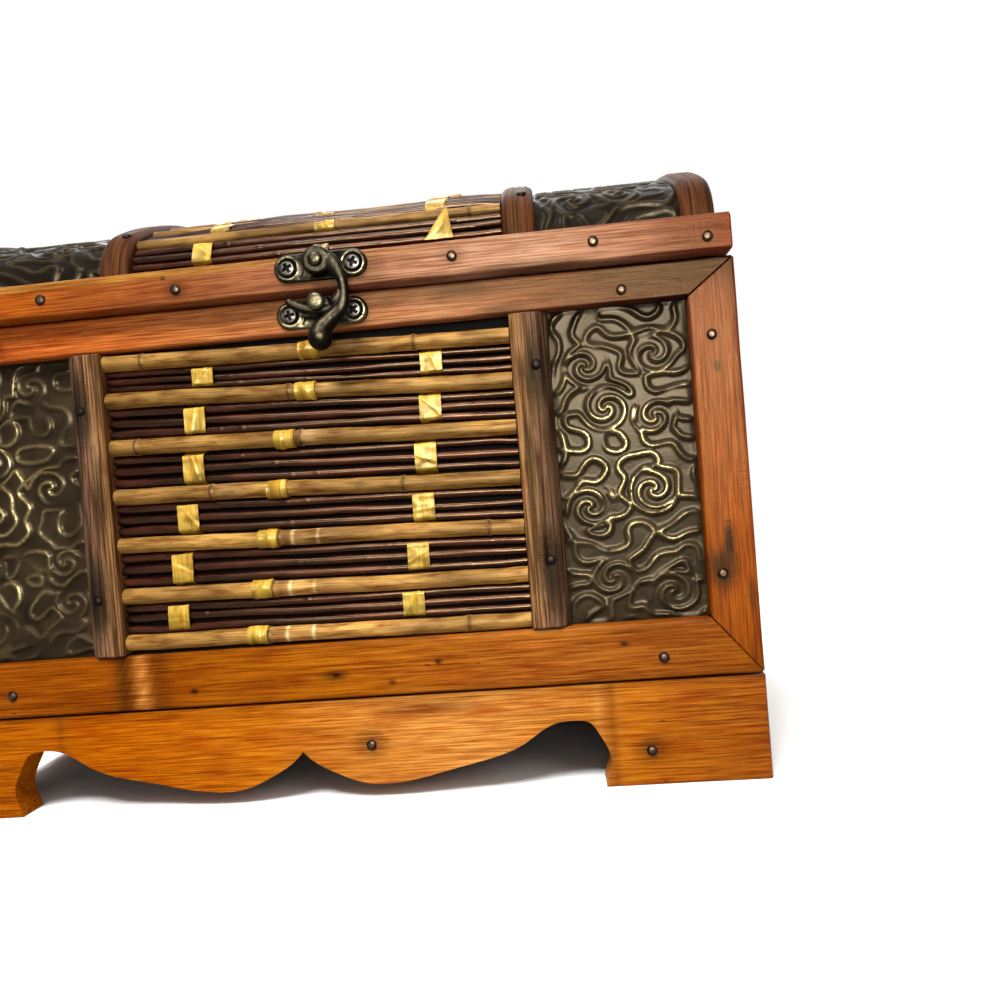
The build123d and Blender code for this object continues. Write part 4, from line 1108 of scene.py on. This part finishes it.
lidMat = {
    "caneCount": 13, "caneFirst": 11.7, "caneRadius": 1.8, "caneUp": 1.85, "caneSides": 16, "caneBend": 0.15,
    "paintedShade": 0.8, "lowX": -48.8, "highX": 61.3,
    "twigRadius": 1.25, "twigUp": 1.5, "twigSteps": (-0.23, 0.0, 0.23), "twigBend": 0.2, "twigSides": 10,
    "nodesFrom": 6, "nodesTo": 104,
    "nodes": [[60, 101], [52], [30, 95], [71], [15, 80], [60], [40, 100], [22], [85], [50], [12, 70], [93],
              [35]],
    # how far the twigs bow away from the dome at some x
    "bowX": [-48.8, -44, -38, -24.5, -11, 8, 21, 34, 47, 56, 61.3],
    "bow": [0.0, 0.0, 0.1, 0.7, 1.2, 0.9, 0.7, 0.9, 1.5, 1.2, 0.6],
    # x of the ties on the first bundles, where they keep no pattern, and on the first cane
    "tieX": {0: [-27.5], 1: [-24.0, 42.0]}, "caneTieX": {0: 9.0},
    "tieWidth": 5.8, "tieHalf": 4.4, "tieUp": (1.6, 1.6), "tieTuck": 1.5, "tieMargin": 1.2,
    "caneTieHalf": 2.7, "caneTieStand": 0.15,
}
lidMat["pitch"] = (dome["wholeWay"] - 2 * lidMat["caneFirst"]) / (lidMat["caneCount"] - 1)


def lidBow(x, way):
    # the twigs behind the first cane have lifted most, those over the top less
    bow = np.interp(x, lidMat["bowX"], lidMat["bow"])
    return bow * smoothStep(9, 15, way) * (1 - 0.8 * smoothStep(40, 75, way))


def domeStick(way, up, radius, look, seed, rings, sides, lifted):
    start, end = onDome(lidMat["lowX"], way, up), onDome(lidMat["highX"], way, up)
    angle = float(domeAngle(way))
    outwards = np.array([0.0, math.sin(angle), math.cos(angle)])
    return stickPart(start, end, radius, look, seed, rings, sides,
                     push=lambda ways: lifted * lidBow(lidMat["lowX"] + ways, way)[:, None] * outwards)


def buildLidSticks(ways, groups):
    calm, thin = dict(cane["look"], bend=lidMat["caneBend"]), dict(twig["look"], bend=lidMat["twigBend"])
    canes = [domeStick(way, lidMat["caneUp"], lidMat["caneRadius"], calm, 1001 + k * 3, lidMat["nodes"][k],
                       lidMat["caneSides"], 0.0) for k, way in enumerate(ways)]
    # painted shade: the lid canes' colour is darkened by this share
    for part in canes:
        part["marks"]["stain"] = part["marks"]["stain"] * lidMat["paintedShade"]
    buildPiece("lid_cane_stems", canes, "lid", "cane", "lid_canes")
    twigs = []
    for k, way in enumerate(groups):
        for step in lidMat["twigSteps"]:
            seed = 1101 + k * 17 + int(step * 10)
            rng = np.random.RandomState(seed)
            radius = lidMat["twigRadius"] * rng.uniform(0.95, 1.08)
            rings = sorted(rng.uniform(lidMat["nodesFrom"], lidMat["nodesTo"], 2))
            twigs.append(domeStick(way + step * lidMat["pitch"], lidMat["twigUp"], radius, thin, seed, rings,
                                   lidMat["twigSides"], 1.0))
    buildPiece("lid_twig_stems", twigs, "lid", "twig", "lid_twigs")


def buildLidTies(ways, groups):
    ties = []
    margin, (foot, rise) = lidMat["tieMargin"], lidMat["tieUp"]
    for k, way in enumerate(groups):
        low, high = way - lidMat["tieHalf"], way + lidMat["tieHalf"]
        for column, x in enumerate(lidMat["tieX"].get(k, [-27.5 + 3 * (k % 2), 45.0 - 1.5 * (k % 3)])):
            def heightAt(v):
                return foot + rise * tucked(v, low, high, lidMat["tieTuck"]) + lidBow(x, v)
            ties.append(strapOver(x, max(low, margin), min(high, dome["wholeWay"] - margin), onDome, heightAt,
                                  1201 + k * 3 + column, lidMat["tieWidth"]))
    for k, way in enumerate(ways):
        def wrap(u, v, w):
            # v turns round the cane, from its front foot over its top
            turn, r = v / lidMat["caneRadius"], lidMat["caneRadius"] + lidMat["caneTieStand"] + w
            return onDome(u, way + r * np.sin(turn), lidMat["caneUp"] + r * np.cos(turn))
        ties.append(strapOver(lidMat["caneTieX"].get(k, 12.0 - 5.5 * (k % 4)), -lidMat["caneTieHalf"],
                              lidMat["caneTieHalf"], wrap, lambda v: 0 * v + tie["stand"], 1301 + k * 5,
                              tie["caneWidth"]))
    # a torn grey end looks out over the hook's eye, and one straw end stands up as a folded corner
    torn = strapOver(8.2, 0.9, 3.4, onDome, lambda v: 3.2 + 0.2 * v, 1387, 6.2, lean=0.5, taper=0.3)
    torn["marks"]["stain"][:] = linearColour("#6e6252")[:3]
    flap = strapOver(44.6, 1.6, 9.4, onDome, lambda v: 3.2 + 0.25 * v + lidBow(45.0, v), 1391, 8.4, lean=0.34,
                     taper=0.93)
    buildPiece("lid_straw_ties", ties + [torn, flap], "lid", "straw", "lid_ties", sharp=tie["sharp"])


caneWays = [lidMat["caneFirst"] + k * lidMat["pitch"] for k in range(lidMat["caneCount"])]
twigWays = [way - lidMat["pitch"] / 2 for way in caneWays] + [caneWays[-1] + lidMat["pitch"] / 2]
buildLidSticks(caneWays, twigWays)
buildLidTies(caneWays, twigWays)
print("stage: canes, twigs and ties woven")


# small round metal: nails, screws, rivet and post, and the two latch plates

def outward(origin, facing=(0, -1, 0), turn=0.0):
    # a placer for round things: a and b lie on the surface, h stands out of it
    out = Vector(facing).normalized()
    side = out.cross(Vector((0, 0, 1))) if abs(out.z) < 0.99 else Vector((1, 0, 0))
    side = -side.normalized()
    up = out.cross(side)
    cosine, sine = math.cos(turn), math.sin(turn)
    origin, out, side, up = (np.array(v) for v in (origin, out, side, up))

    def place(a, b, h):
        a, b = a * cosine - b * sine, a * sine + b * cosine
        a, b, h = np.broadcast_arrays(a, b, h)
        return origin + a[..., None] * side + b[..., None] * up + h[..., None] * out
    return place


def makeDisc(place, edgeAt, heightAt, wearAt, spokes, rings):
    # a closed button: edgeAt(angle) is its outline, heightAt(a, b) its face, and its back is flat
    turn = np.linspace(0, 2 * math.pi, spokes, endpoint=False)
    share = np.linspace(0, 1, rings + 1)[1:] ** 0.8
    reach = share[:, None] * edgeAt(turn)[None, :]
    a, b = reach * np.cos(turn)[None, :], reach * np.sin(turn)[None, :]
    zero, k = np.zeros(1), np.arange(spokes)
    points = np.concatenate([place(zero, zero, heightAt(zero, zero)),
                             place(a, b, heightAt(a, b)).reshape(-1, 3),
                             place(a[-1], b[-1], np.zeros(spokes))])
    fan = np.stack([np.zeros(spokes, int), 1 + k, 1 + (k + 1) % spokes], -1)
    faces = [fan, ringFaces(rings + 1, spokes) + 1, 1 + rings * spokes + k]
    wear = np.concatenate([wearAt(zero, zero), wearAt(a, b).ravel(), np.zeros(spokes)])
    return shellPart(points, faces, wear=wear)


def makeLathe(place, profile, wearAt, sides=40):
    # a turned piece from (radius, height) points, from its back centre to its front centre
    profile = np.array(profile, float)
    middle = profile[1:-1]
    turn = np.linspace(0, 2 * math.pi, sides, endpoint=False)
    a, b = middle[:, :1] * np.cos(turn)[None, :], middle[:, :1] * np.sin(turn)[None, :]
    zero, k = np.zeros(1), np.arange(sides)
    points = np.concatenate([place(zero, zero, zero + profile[0, 1]),
                             place(a, b, np.broadcast_to(middle[:, 1:], a.shape)).reshape(-1, 3),
                             place(zero, zero, zero + profile[-1, 1])])
    last = 1 + (len(middle) - 1) * sides
    fans = [np.stack([np.zeros(sides, int), 1 + (k + 1) % sides, 1 + k], -1),
            np.stack([np.full(sides, len(points) - 1), last + k, last + (k + 1) % sides], -1)]
    wear = [[wearAt(profile[0, 1])], np.repeat([wearAt(high) for high in middle[:, 1]], sides),
            [wearAt(profile[-1, 1])]]
    return shellPart(points, [ringFaces(len(middle), sides) + 1] + fans, wear=np.concatenate(wear))


nails = {
    "radius": 1.5, "high": 0.9, "oval": 0.03, "dentDeep": 0.1, "sink": 0.12, "strapSink": 0.15,
    "railY": -76.38, "spokes": 22, "rings": 6,
    # how bright the crown is rubbed, and how bright on the battens
    "rubbed": 0.7, "battenRubbed": 0.1,
    # x, z on the front and on its battens
    "frame": [(94, 141.5), (-94, 141.5), (98, 36.3), (-98, 37), (118.2, 126.6), (116.3, 59),
              (-117.5, 124), (-117, 61), (11.3, 16), (92.5, 9.8), (-112, 13)],
    "batten": [(68.3, 122.5), (68.0, 66.5), (-68.3, 121), (-68.0, 64)],
    "lidRail": [(-34, 153.0), (47, 154.5), (86.7, 154.5), (118, 152.7), (-75, 154), (-117, 153.5)],
    # degrees from upright along the straps
    "inner": [-37, -8, 37], "end": [-12, 20], "offMiddle": 1.5,
}


def nailHead(place, seed, rubbed=nails["rubbed"]):
    radius, high = nails["radius"], nails["high"]
    dent = np.random.RandomState(seed).uniform(-0.4, 0.4, 2)

    def heightAt(a, b):
        r = np.hypot(a, b) / radius
        crown = high * np.sqrt(np.clip(1 - (r * 0.93) ** 2, 0, 1))
        return crown - nails["dentDeep"] * np.exp(-((a - dent[0]) ** 2 + (b - dent[1]) ** 2) / 0.16)

    return makeDisc(place, lambda t: radius * (1 + nails["oval"] * np.sin(2 * t + dent[0] * 9)), heightAt,
                    lambda a, b: rubbed * (1 - 0.8 * (np.hypot(a, b) / radius) ** 2), nails["spokes"],
                    nails["rings"])


def buildNails():
    frameY, battenY = (wall["frontBoard"] - thick + nails["sink"]
                       for thick in (wall["frameThick"], battens["thick"]))
    body = [nailHead(outward((x, frameY, z)), 1301 + k) for k, (x, z) in enumerate(nails["frame"])]
    body += [nailHead(outward((x, battenY, z)), 1301 + len(body) + k, nails["battenRubbed"])
             for k, (x, z) in enumerate(nails["batten"])]
    buildPiece("body_nail_heads", body, "box", "bronze_nails", "body_nails")
    lid = [nailHead(outward((x, nails["railY"], z)), 1351 + k) for k, (x, z) in enumerate(nails["lidRail"])]
    for name, start in straps["starts"].items():
        drop, places = (straps["endDrop"], nails["end"]) if "end" in name else (0.0, nails["inner"])
        x = start + straps["width"] / 2 + nails["offMiddle"]
        for k, angle in enumerate(np.radians(places)):
            point = domePoint(x, angle, drop + nails["strapSink"])
            lid.append(nailHead(outward(point, (0, math.sin(angle), math.cos(angle))), 1371 + k))
    buildPiece("lid_nail_heads", lid, "lid", "bronze_nails", "lid_nails")


buildNails()

screws = {"radius": 2.25, "high": 1.05, "slotHalf": 0.36, "slotReach": 1.4, "slotDeep": 0.62,
          "spokes": 64, "rings": 22}


def crossHead(place):
    # a pan head with a cross recess
    radius, high = screws["radius"], screws["high"]

    def outsideSlot(a, b):
        # distance from the cross, below 0 within it
        a, b, half, reach = np.abs(a), np.abs(b), screws["slotHalf"], screws["slotReach"]
        return np.minimum(np.maximum(a - half, b - reach), np.maximum(b - half, a - reach))

    def heightAt(a, b):
        r = np.hypot(a, b) / radius
        pan = high * (1 - 0.35 * r ** 2) - 0.45 * high * smoothStep(0.86, 1.0, r)
        return pan - screws["slotDeep"] * smoothStep(0.14, -0.06, outsideSlot(a, b))

    def wearAt(a, b):
        rubbed = 0.75 - 0.75 * smoothStep(0.2, -0.05, outsideSlot(a, b))
        return np.clip(rubbed - 0.3 * (np.hypot(a, b) / radius) ** 4, 0, 1)

    return makeDisc(place, always(radius), heightAt, wearAt, screws["spokes"], screws["rings"])


latch = {
    "halfSpan": 9.5, "halfHigh": 4.1, "spokes": 200, "rings": 30, "pivot": (8.9, 156.4), "post": (8.3, 144.4),
    # the stamping: a rim round each screw, a bed inside it, a dish between them and a rolled edge
    "rimAt": 3.15, "rimWide": 0.42, "rimHigh": 0.3, "bedDeep": 0.3, "dishDeep": 0.5, "rollDeep": 0.7,
    # centre, the face it lies on, thickness, how bright it is rubbed, depth and turns of its two screws
    "upper": {"x": 9.3, "z": 155.4, "backY": -76.5, "thick": 1.2, "rubbed": 0.04, "screwDeep": 0.5,
              "turns": (0.5, 1.2)},
    "keeper": {"x": 7.4, "z": 143.1, "backY": -71.9, "thick": 1.4, "rubbed": 0.4, "screwDeep": 0.7,
               "turns": (0.2, 0.75)},
    # radius and height: the post is a thin neck with a fat flattened button on a stepped boss
    "postProfile": [(0, 0.2), (3.3, 0.2), (3.15, 2.6), (2.95, 4.4), (2.6, 5.1), (1.8, 5.4), (0.8, 5.5),
                    (0.8, 8.0), (1.3, 8.45), (2.3, 8.6), (2.6, 9.0), (2.6, 9.5), (2.35, 9.95), (1.7, 10.25),
                    (0.8, 10.33), (0, 10.35)],
    "rivetProfile": [(0, 0.7), (3.0, 0.7), (3.0, 1.35), (1.0, 1.42), (0.85, 1.6), (0.85, 3.85), (1.9, 3.9),
                     (2.1, 4.15), (1.95, 4.6), (1.5, 4.95), (0.8, 5.1), (0, 5.1)],
}


def makeSlotPlate(plate):
    # a stamped plate: rounded ends with a raised rim round each screw and a dished middle
    halfSpan, halfHigh = latch["halfSpan"], latch["halfHigh"]

    def edgeAt(t):
        # distance from the middle to a stadium's outline
        c, s = np.abs(np.cos(t)), np.abs(np.sin(t))
        toSide = np.where(s > 1e-6, halfHigh / np.maximum(s, 1e-6), 1e9)
        toRound = halfSpan * c + np.sqrt(np.clip(halfHigh ** 2 - (halfSpan * s) ** 2, 0, None))
        return np.where(toSide * c <= halfSpan, toSide, toRound)

    def depthIn(a, b):
        return halfHigh - np.hypot(np.maximum(np.abs(a) - halfSpan, 0), b)

    def fromScrew(a, b):
        return np.hypot(np.abs(a) - halfSpan, b)

    def heightAt(a, b):
        r, depth = fromScrew(a, b), depthIn(a, b)
        rim = latch["rimHigh"] * bell(r - latch["rimAt"], latch["rimWide"])
        bed = latch["bedDeep"] * smoothStep(2.9, 2.2, r)
        dish = latch["dishDeep"] * smoothStep(4.2, 5.2, r) * smoothStep(0.1, 1.3, depth)
        rolled = latch["rollDeep"] * smoothStep(0.75, 0.0, depth) ** 2
        return plate["thick"] - latch["rimHigh"] + rim - bed - dish - rolled

    def wearAt(a, b):
        r = fromScrew(a, b)
        onRim, inBed = 0.6 * bell(r - 3.2, 0.36), 0.25 * smoothStep(2.7, 1.9, r)
        onEdge, inDish = 0.3 * smoothStep(0.8, 0.2, depthIn(a, b)), 0.1 * smoothStep(4.4, 5.4, r)
        return np.clip(0.14 + plate["rubbed"] * smoothStep(3, -3, b) + onRim - inBed + onEdge - inDish, 0, 1)

    return makeDisc(outward((plate["x"], plate["backY"], plate["z"])), edgeAt, heightAt, wearAt,
                    latch["spokes"], latch["rings"])


def buildLatchPlates():
    upper, keeper = latch["upper"], latch["keeper"]
    buildPiece("upper_latch_stamping", [makeSlotPlate(upper)], "lid", "antique_brass", "upper_latch_plate")
    buildPiece("keeper_stamping", [makeSlotPlate(keeper)], "box", "antique_brass", "keeper_plate")
    for plate, body, name in ((upper, "lid", "upper_latch"), (keeper, "box", "keeper")):
        y = plate["backY"] - plate["screwDeep"]
        heads = [crossHead(outward((plate["x"] + shift, y, plate["z"]), turn=turn))
                 for shift, turn in zip((-latch["halfSpan"], latch["halfSpan"]), plate["turns"])]
        buildPiece(f"{name}_cross_screws", heads, body, "screw_steel", f"{name}_screws")
    (postX, postZ), (pivotX, pivotZ) = latch["post"], latch["pivot"]
    post = makeLathe(outward((postX, keeper["backY"], postZ)), latch["postProfile"],
                     lambda high: 0.12 + 0.4 * (high > 8.4) + 0.12 * (high > 9.8))
    buildPiece("latch_post_button", [post], "box", "antique_brass", "latch_post")
    rivet = makeLathe(outward((pivotX, upper["backY"], pivotZ)), latch["rivetProfile"],
                      lambda high: 0.2 + 0.26 * (high > 4.5))
    buildPiece("hook_rivet_head", [rivet], "lid", "antique_brass", "hook_rivet")


buildLatchPlates()

hookLook = {
    "eyeBack": -78.2, "y": -79.4, "thick": 1.42, "sides": 28, "rings": 60,
    # x, z and half width of the arm, from the eye down to the ball, and of the web between arm and finger
    "arm": [(9.4, 156.8, 3.2), (11.4, 156.2, 3.0), (13.2, 154.8, 2.55), (14.8, 152.6, 1.95),
            (15.9, 149.9, 1.5), (16.05, 146.9, 1.55), (15.5, 143.9, 1.95), (13.9, 141.2, 2.1),
            (11.5, 138.9, 2.35), (9.6, 136.8, 2.85), (8.7, 135.0, 3.3)],
    "web": [(15.6, 147.6, 1.1), (14.3, 145.6, 1.5), (13.0, 144.0, 1.35), (12.2, 143.5, 1.0)],
    "ball": (8.7, -80.6, 134.2, 3.45), "ballStretch": 1.04, "ballRings": 20,
    # the finger goes round the pivot, so that it can pass under the post's button
    "fingerY": -79.15, "reach": 14.15, "fingerFrom": -62, "fingerTo": -132, "fingerRings": 34,
    "fingerWide": 1.4, "fingerThick": 1.1, "fingerTip": [0.9, 0.74, 0.4],
    "eye": [(0, 0), (3.8, 0), (4.1, 0.25), (4.15, 1.0), (3.95, 1.55), (3.4, 1.9), (0, 1.95)], "eyeSides": 48,
    # size of the grains that melt the shells together, and how much that is smoothed; and the way the
    # brightened faces turn, partly wear and partly painted highlight
    "melt": 0.16, "softness": 0.5, "softRounds": 5, "litAndRubbedFrom": (0.1, -0.8, 0.55),
}


def roundTube(path, radii, sides, thick=None):
    # a tube whose half width is radii across the xz plane and, where thick is given, at most thick along y
    path, radii = np.array(path, float), np.asarray(radii, float)
    deep = radii if thick is None else np.minimum(radii, thick)
    tangent = np.gradient(path, axis=0)
    tangent /= np.linalg.norm(tangent, axis=1)[:, None]
    side = np.broadcast_to(np.array([0.0, 1.0, 0.0]), path.shape)
    up = np.cross(tangent, side)
    turn = np.linspace(0, 2 * math.pi, sides, endpoint=False)[None, :, None]
    points = (path[:, None, :] + deep[:, None, None] * np.cos(turn) * side[:, None, :]
              + radii[:, None, None] * np.sin(turn) * up[:, None, :])
    return shellPart(points, capped(len(path), sides), wear=np.zeros(len(path) * sides))


def smoothPath(points, count):
    # a curve through the points, spaced evenly between them
    points = np.array(points, float)
    last = len(points) - 1
    path = []
    for t in np.linspace(0, last, count):
        k = min(int(t), last - 1)
        before, a, b, after = (points[min(max(k + step, 0), last)] for step in (-1, 0, 1, 2))
        s = t - k
        path.append(0.5 * ((2 * a) + (b - before) * s + (2 * before - 5 * a + 4 * b - after) * s * s
                           + (3 * a - before - 3 * b + after) * s ** 3))
    return np.array(path)


def hookShells():
    # eye, bowed arm, web, finger and ball
    sides, pivot, shells = hookLook["sides"], latch["pivot"], []
    for name in ("arm", "web"):
        x, z, wide = smoothPath(hookLook[name], hookLook["rings"]).T
        # flush with the eye at its top, and deeper towards the ball
        nearEye, nearBall = smoothStep(152, 156.5, z), smoothStep(143, 135.5, z)
        y = hookLook["y"] + 0.42 * nearEye - 1.2 * nearBall
        thick = hookLook["thick"] - 0.3 * nearEye + 2.0 * nearBall
        shells.append(roundTube(np.stack([x, y, z], -1), wide, sides, thick))
    count, tip = hookLook["fingerRings"], hookLook["fingerTip"]
    turns = np.radians(np.linspace(hookLook["fingerFrom"], hookLook["fingerTo"], count))
    finger = np.stack([pivot[0] + hookLook["reach"] * np.cos(turns), np.full(count, hookLook["fingerY"]),
                       pivot[1] + hookLook["reach"] * np.sin(turns)], -1)
    wide = hookLook["fingerWide"] * np.concatenate([np.linspace(1.0, 0.96, count - len(tip)), tip])
    shells.append(roundTube(finger, wide, sides, hookLook["fingerThick"]))
    x, y, z, radius = hookLook["ball"]
    angles = np.linspace(0.02, math.pi - 0.02, hookLook["ballRings"])[::-1]
    ball = [(x, y, z + radius * hookLook["ballStretch"] * math.cos(angle)) for angle in angles]
    shells.append(roundTube(ball, radius * np.sin(angles), sides))
    eye = makeLathe(outward((pivot[0], hookLook["eyeBack"], pivot[1])), hookLook["eye"], lambda high: 0.0,
                    hookLook["eyeSides"])
    return shells + [eye]


def buildHook():
    # the shells are melted together as a casting is, and keep no seam
    rough = bpy.data.objects.new("hook_rough", joinShells("hook_rough", hookShells()))
    bpy.context.scene.collection.objects.link(rough)
    melt = rough.modifiers.new("melt", "REMESH")
    melt.mode = "VOXEL"
    melt.voxel_size = hookLook["melt"] * mm
    soften = rough.modifiers.new("soften", "SMOOTH")
    soften.factor = hookLook["softness"]
    soften.iterations = hookLook["softRounds"]
    cast = bpy.data.meshes.new_from_object(rough.evaluated_get(bpy.context.evaluated_depsgraph_get()))
    bpy.data.objects.remove(rough)
    normal = np.zeros(len(cast.vertices) * 3)
    cast.vertices.foreach_get("normal", normal)
    # bright on faces turned to the front and up, the outer bow, the ball and the raised front: partly wear
    # where a hand rubs it, partly painted highlight where the lamps light it
    wear = 0.1 + 0.38 * smoothStep(0.5, 0.98, normal.reshape(-1, 3) @ np.array(hookLook["litAndRubbedFrom"]))
    cast.attributes.new("wear", "FLOAT", "POINT").data.foreach_set("value", wear)
    cast.materials.clear()
    addPiece("hook_casting", cast, "hook", "antique_brass", "hook")


buildHook()
print("stage: latch and nails made")

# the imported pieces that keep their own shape
packedFinishes = (
    (plywood, ("floor_panel", "front_wall_board", "back_wall_board", "left_wall_board", "right_wall_board",
               "lid_top_board", "lid_end_boards")),
    (hingeBrass, ("body_hinge_leaves", "lid_hinge_leaves", "hinge_pins")),
    (screwSteel, ("body_hinge_screws", "lid_hinge_screws")),
)
for material, names in packedFinishes:
    for name in names:
        nodes[name].data.materials.clear()
        nodes[name].data.materials.append(material)

room = {
    "floorHalf": 14.0, "floorDrop": 0.0002, "skyStrength": 0.25, "fadeFrom": 0.26, "fadeTo": 0.6,
    # name, watts, width, height, place, what it looks at
    "lamps": [("key", 21.5, 0.42, 0.32, (-0.15, -0.62, 1.0), (0.02, -0.05, 0.1)),
              ("window", 30.0, 0.5, 0.22, (0.07, -0.72, 0.27), (0.05, -0.07, 0.14)),
              ("lantern", 17.0, 0.12, 0.09, (0.161, -0.72, 0.19), (0.093, -0.07, 0.112)),
              ("fill", 2.5, 0.7, 0.5, (0.7, -0.8, 0.7), (0.02, -0.05, 0.09)),
              ("top", 5.0, 0.8, 0.8, (0.1, 0.35, 0.95), (0, 0, 0.12)),
              ("rear", 7.0, 0.9, 0.6, (-0.3, 0.95, 0.6), (0, 0.06, 0.1))],
    # these two only show in shiny surfaces
    "shineOnly": ("window", "lantern"),
}
plainWhite = (1, 1, 1, 1)


def seenDirectly(tree):
    # 1 for what the camera sees, also in mirrors and through glass, and 0 for light that falls on the box
    path = addNode(tree, "LightPath").outputs
    direct = maths(tree, "MAXIMUM", path["Is Camera Ray"], path["Is Glossy Ray"])
    return maths(tree, "MAXIMUM", direct, path["Is Transmission Ray"])


def buildFloor():
    # matt painted floor, which far away gives way to plain white for the camera and for mirrors of it
    material, tree, shader = newMaterial("matt painted floor")
    place = addNode(tree, "TexCoord").outputs["Object"]
    cloud = addNode(tree, "TexNoise", {"Vector": place, "Scale": 6.0, "Detail": 3.0})
    colour = ramp(tree, cloud.outputs["Fac"], [(0.3, "#f7f6f4"), (0.7, "#fbfaf8")])
    shader.inputs["Roughness"].default_value = 0.9
    shader.inputs["Specular IOR Level"].default_value = 0.1
    seen = seenDirectly(tree)
    # it sends back less light on to the box than its white would
    tree.links.new(mixed(tree, seen, linearColour("#a49f97"), colour), shader.inputs["Base Color"])
    distance = addNode(tree, "VectorMath", {0: place}, operation="LENGTH").outputs["Value"]
    share = maths(tree, "MULTIPLY", remap(tree, distance, 0.0, 1.0, room["fadeFrom"], room["fadeTo"]), seen)
    plain = addNode(tree, "Emission", {"Color": plainWhite, "Strength": 1.0})
    mix = addNode(tree, "MixShader", {0: share, 1: shader.outputs[0], 2: plain.outputs[0]})
    tree.links.new(mix.outputs[0], tree.nodes["Material Output"].inputs["Surface"])
    bm = bmesh.new()
    bmesh.ops.create_grid(bm, x_segments=8, y_segments=8, size=room["floorHalf"])
    mesh = bpy.data.meshes.new("floor")
    bm.to_mesh(mesh)
    bm.free()
    mesh.materials.append(material)
    floor = bpy.data.objects.new("floor", mesh)
    floor.location.z = -room["floorDrop"]
    bpy.context.scene.collection.objects.link(floor)


def buildSky():
    world = bpy.data.worlds.new("studio")
    bpy.context.scene.world = world
    world.use_nodes = True
    tree = world.node_tree
    tree.nodes.clear()
    sky = addNode(tree, "Background", {"Color": linearColour("#fdfbf6"), "Strength": room["skyStrength"]})
    white = addNode(tree, "Background", {"Color": plainWhite, "Strength": 1.0})
    mix = addNode(tree, "MixShader", {0: seenDirectly(tree), 1: sky.outputs[0], 2: white.outputs[0]})
    addNode(tree, "OutputWorld", {"Surface": mix.outputs[0]})


def buildLamps():
    for name, watts, width, height, place, target in room["lamps"]:
        lamp = bpy.data.lights.new(name, "AREA")
        lamp.shape = "RECTANGLE"
        lamp.energy = watts
        lamp.size = width
        lamp.size_y = height
        holder = bpy.data.objects.new(name, lamp)
        holder.location = place
        holder.rotation_euler = (Vector(target) - Vector(place)).to_track_quat("-Z", "Y").to_euler()
        holder.visible_diffuse = name not in room["shineOnly"]
        bpy.context.scene.collection.objects.link(holder)


buildFloor()
buildSky()
buildLamps()

eye = {"place": (0.07002, -0.28778, 0.08769), "turn": (89.2104, 4.6091, 3.9757), "lens": 27.0, "sensor": 36.0,
       "nearest": 0.01}
cameraData = bpy.data.cameras.new("camera")
cameraData.lens = eye["lens"]
cameraData.sensor_width = eye["sensor"]
cameraData.clip_start = eye["nearest"]
camera = bpy.data.objects.new("camera", cameraData)
camera.location = eye["place"]
camera.rotation_euler = [math.radians(degrees) for degrees in eye["turn"]]
bpy.context.scene.collection.objects.link(camera)
bpy.context.scene.camera = camera
bpy.context.scene.view_settings.view_transform = "Standard"
print("stage: room, lamps and camera set")
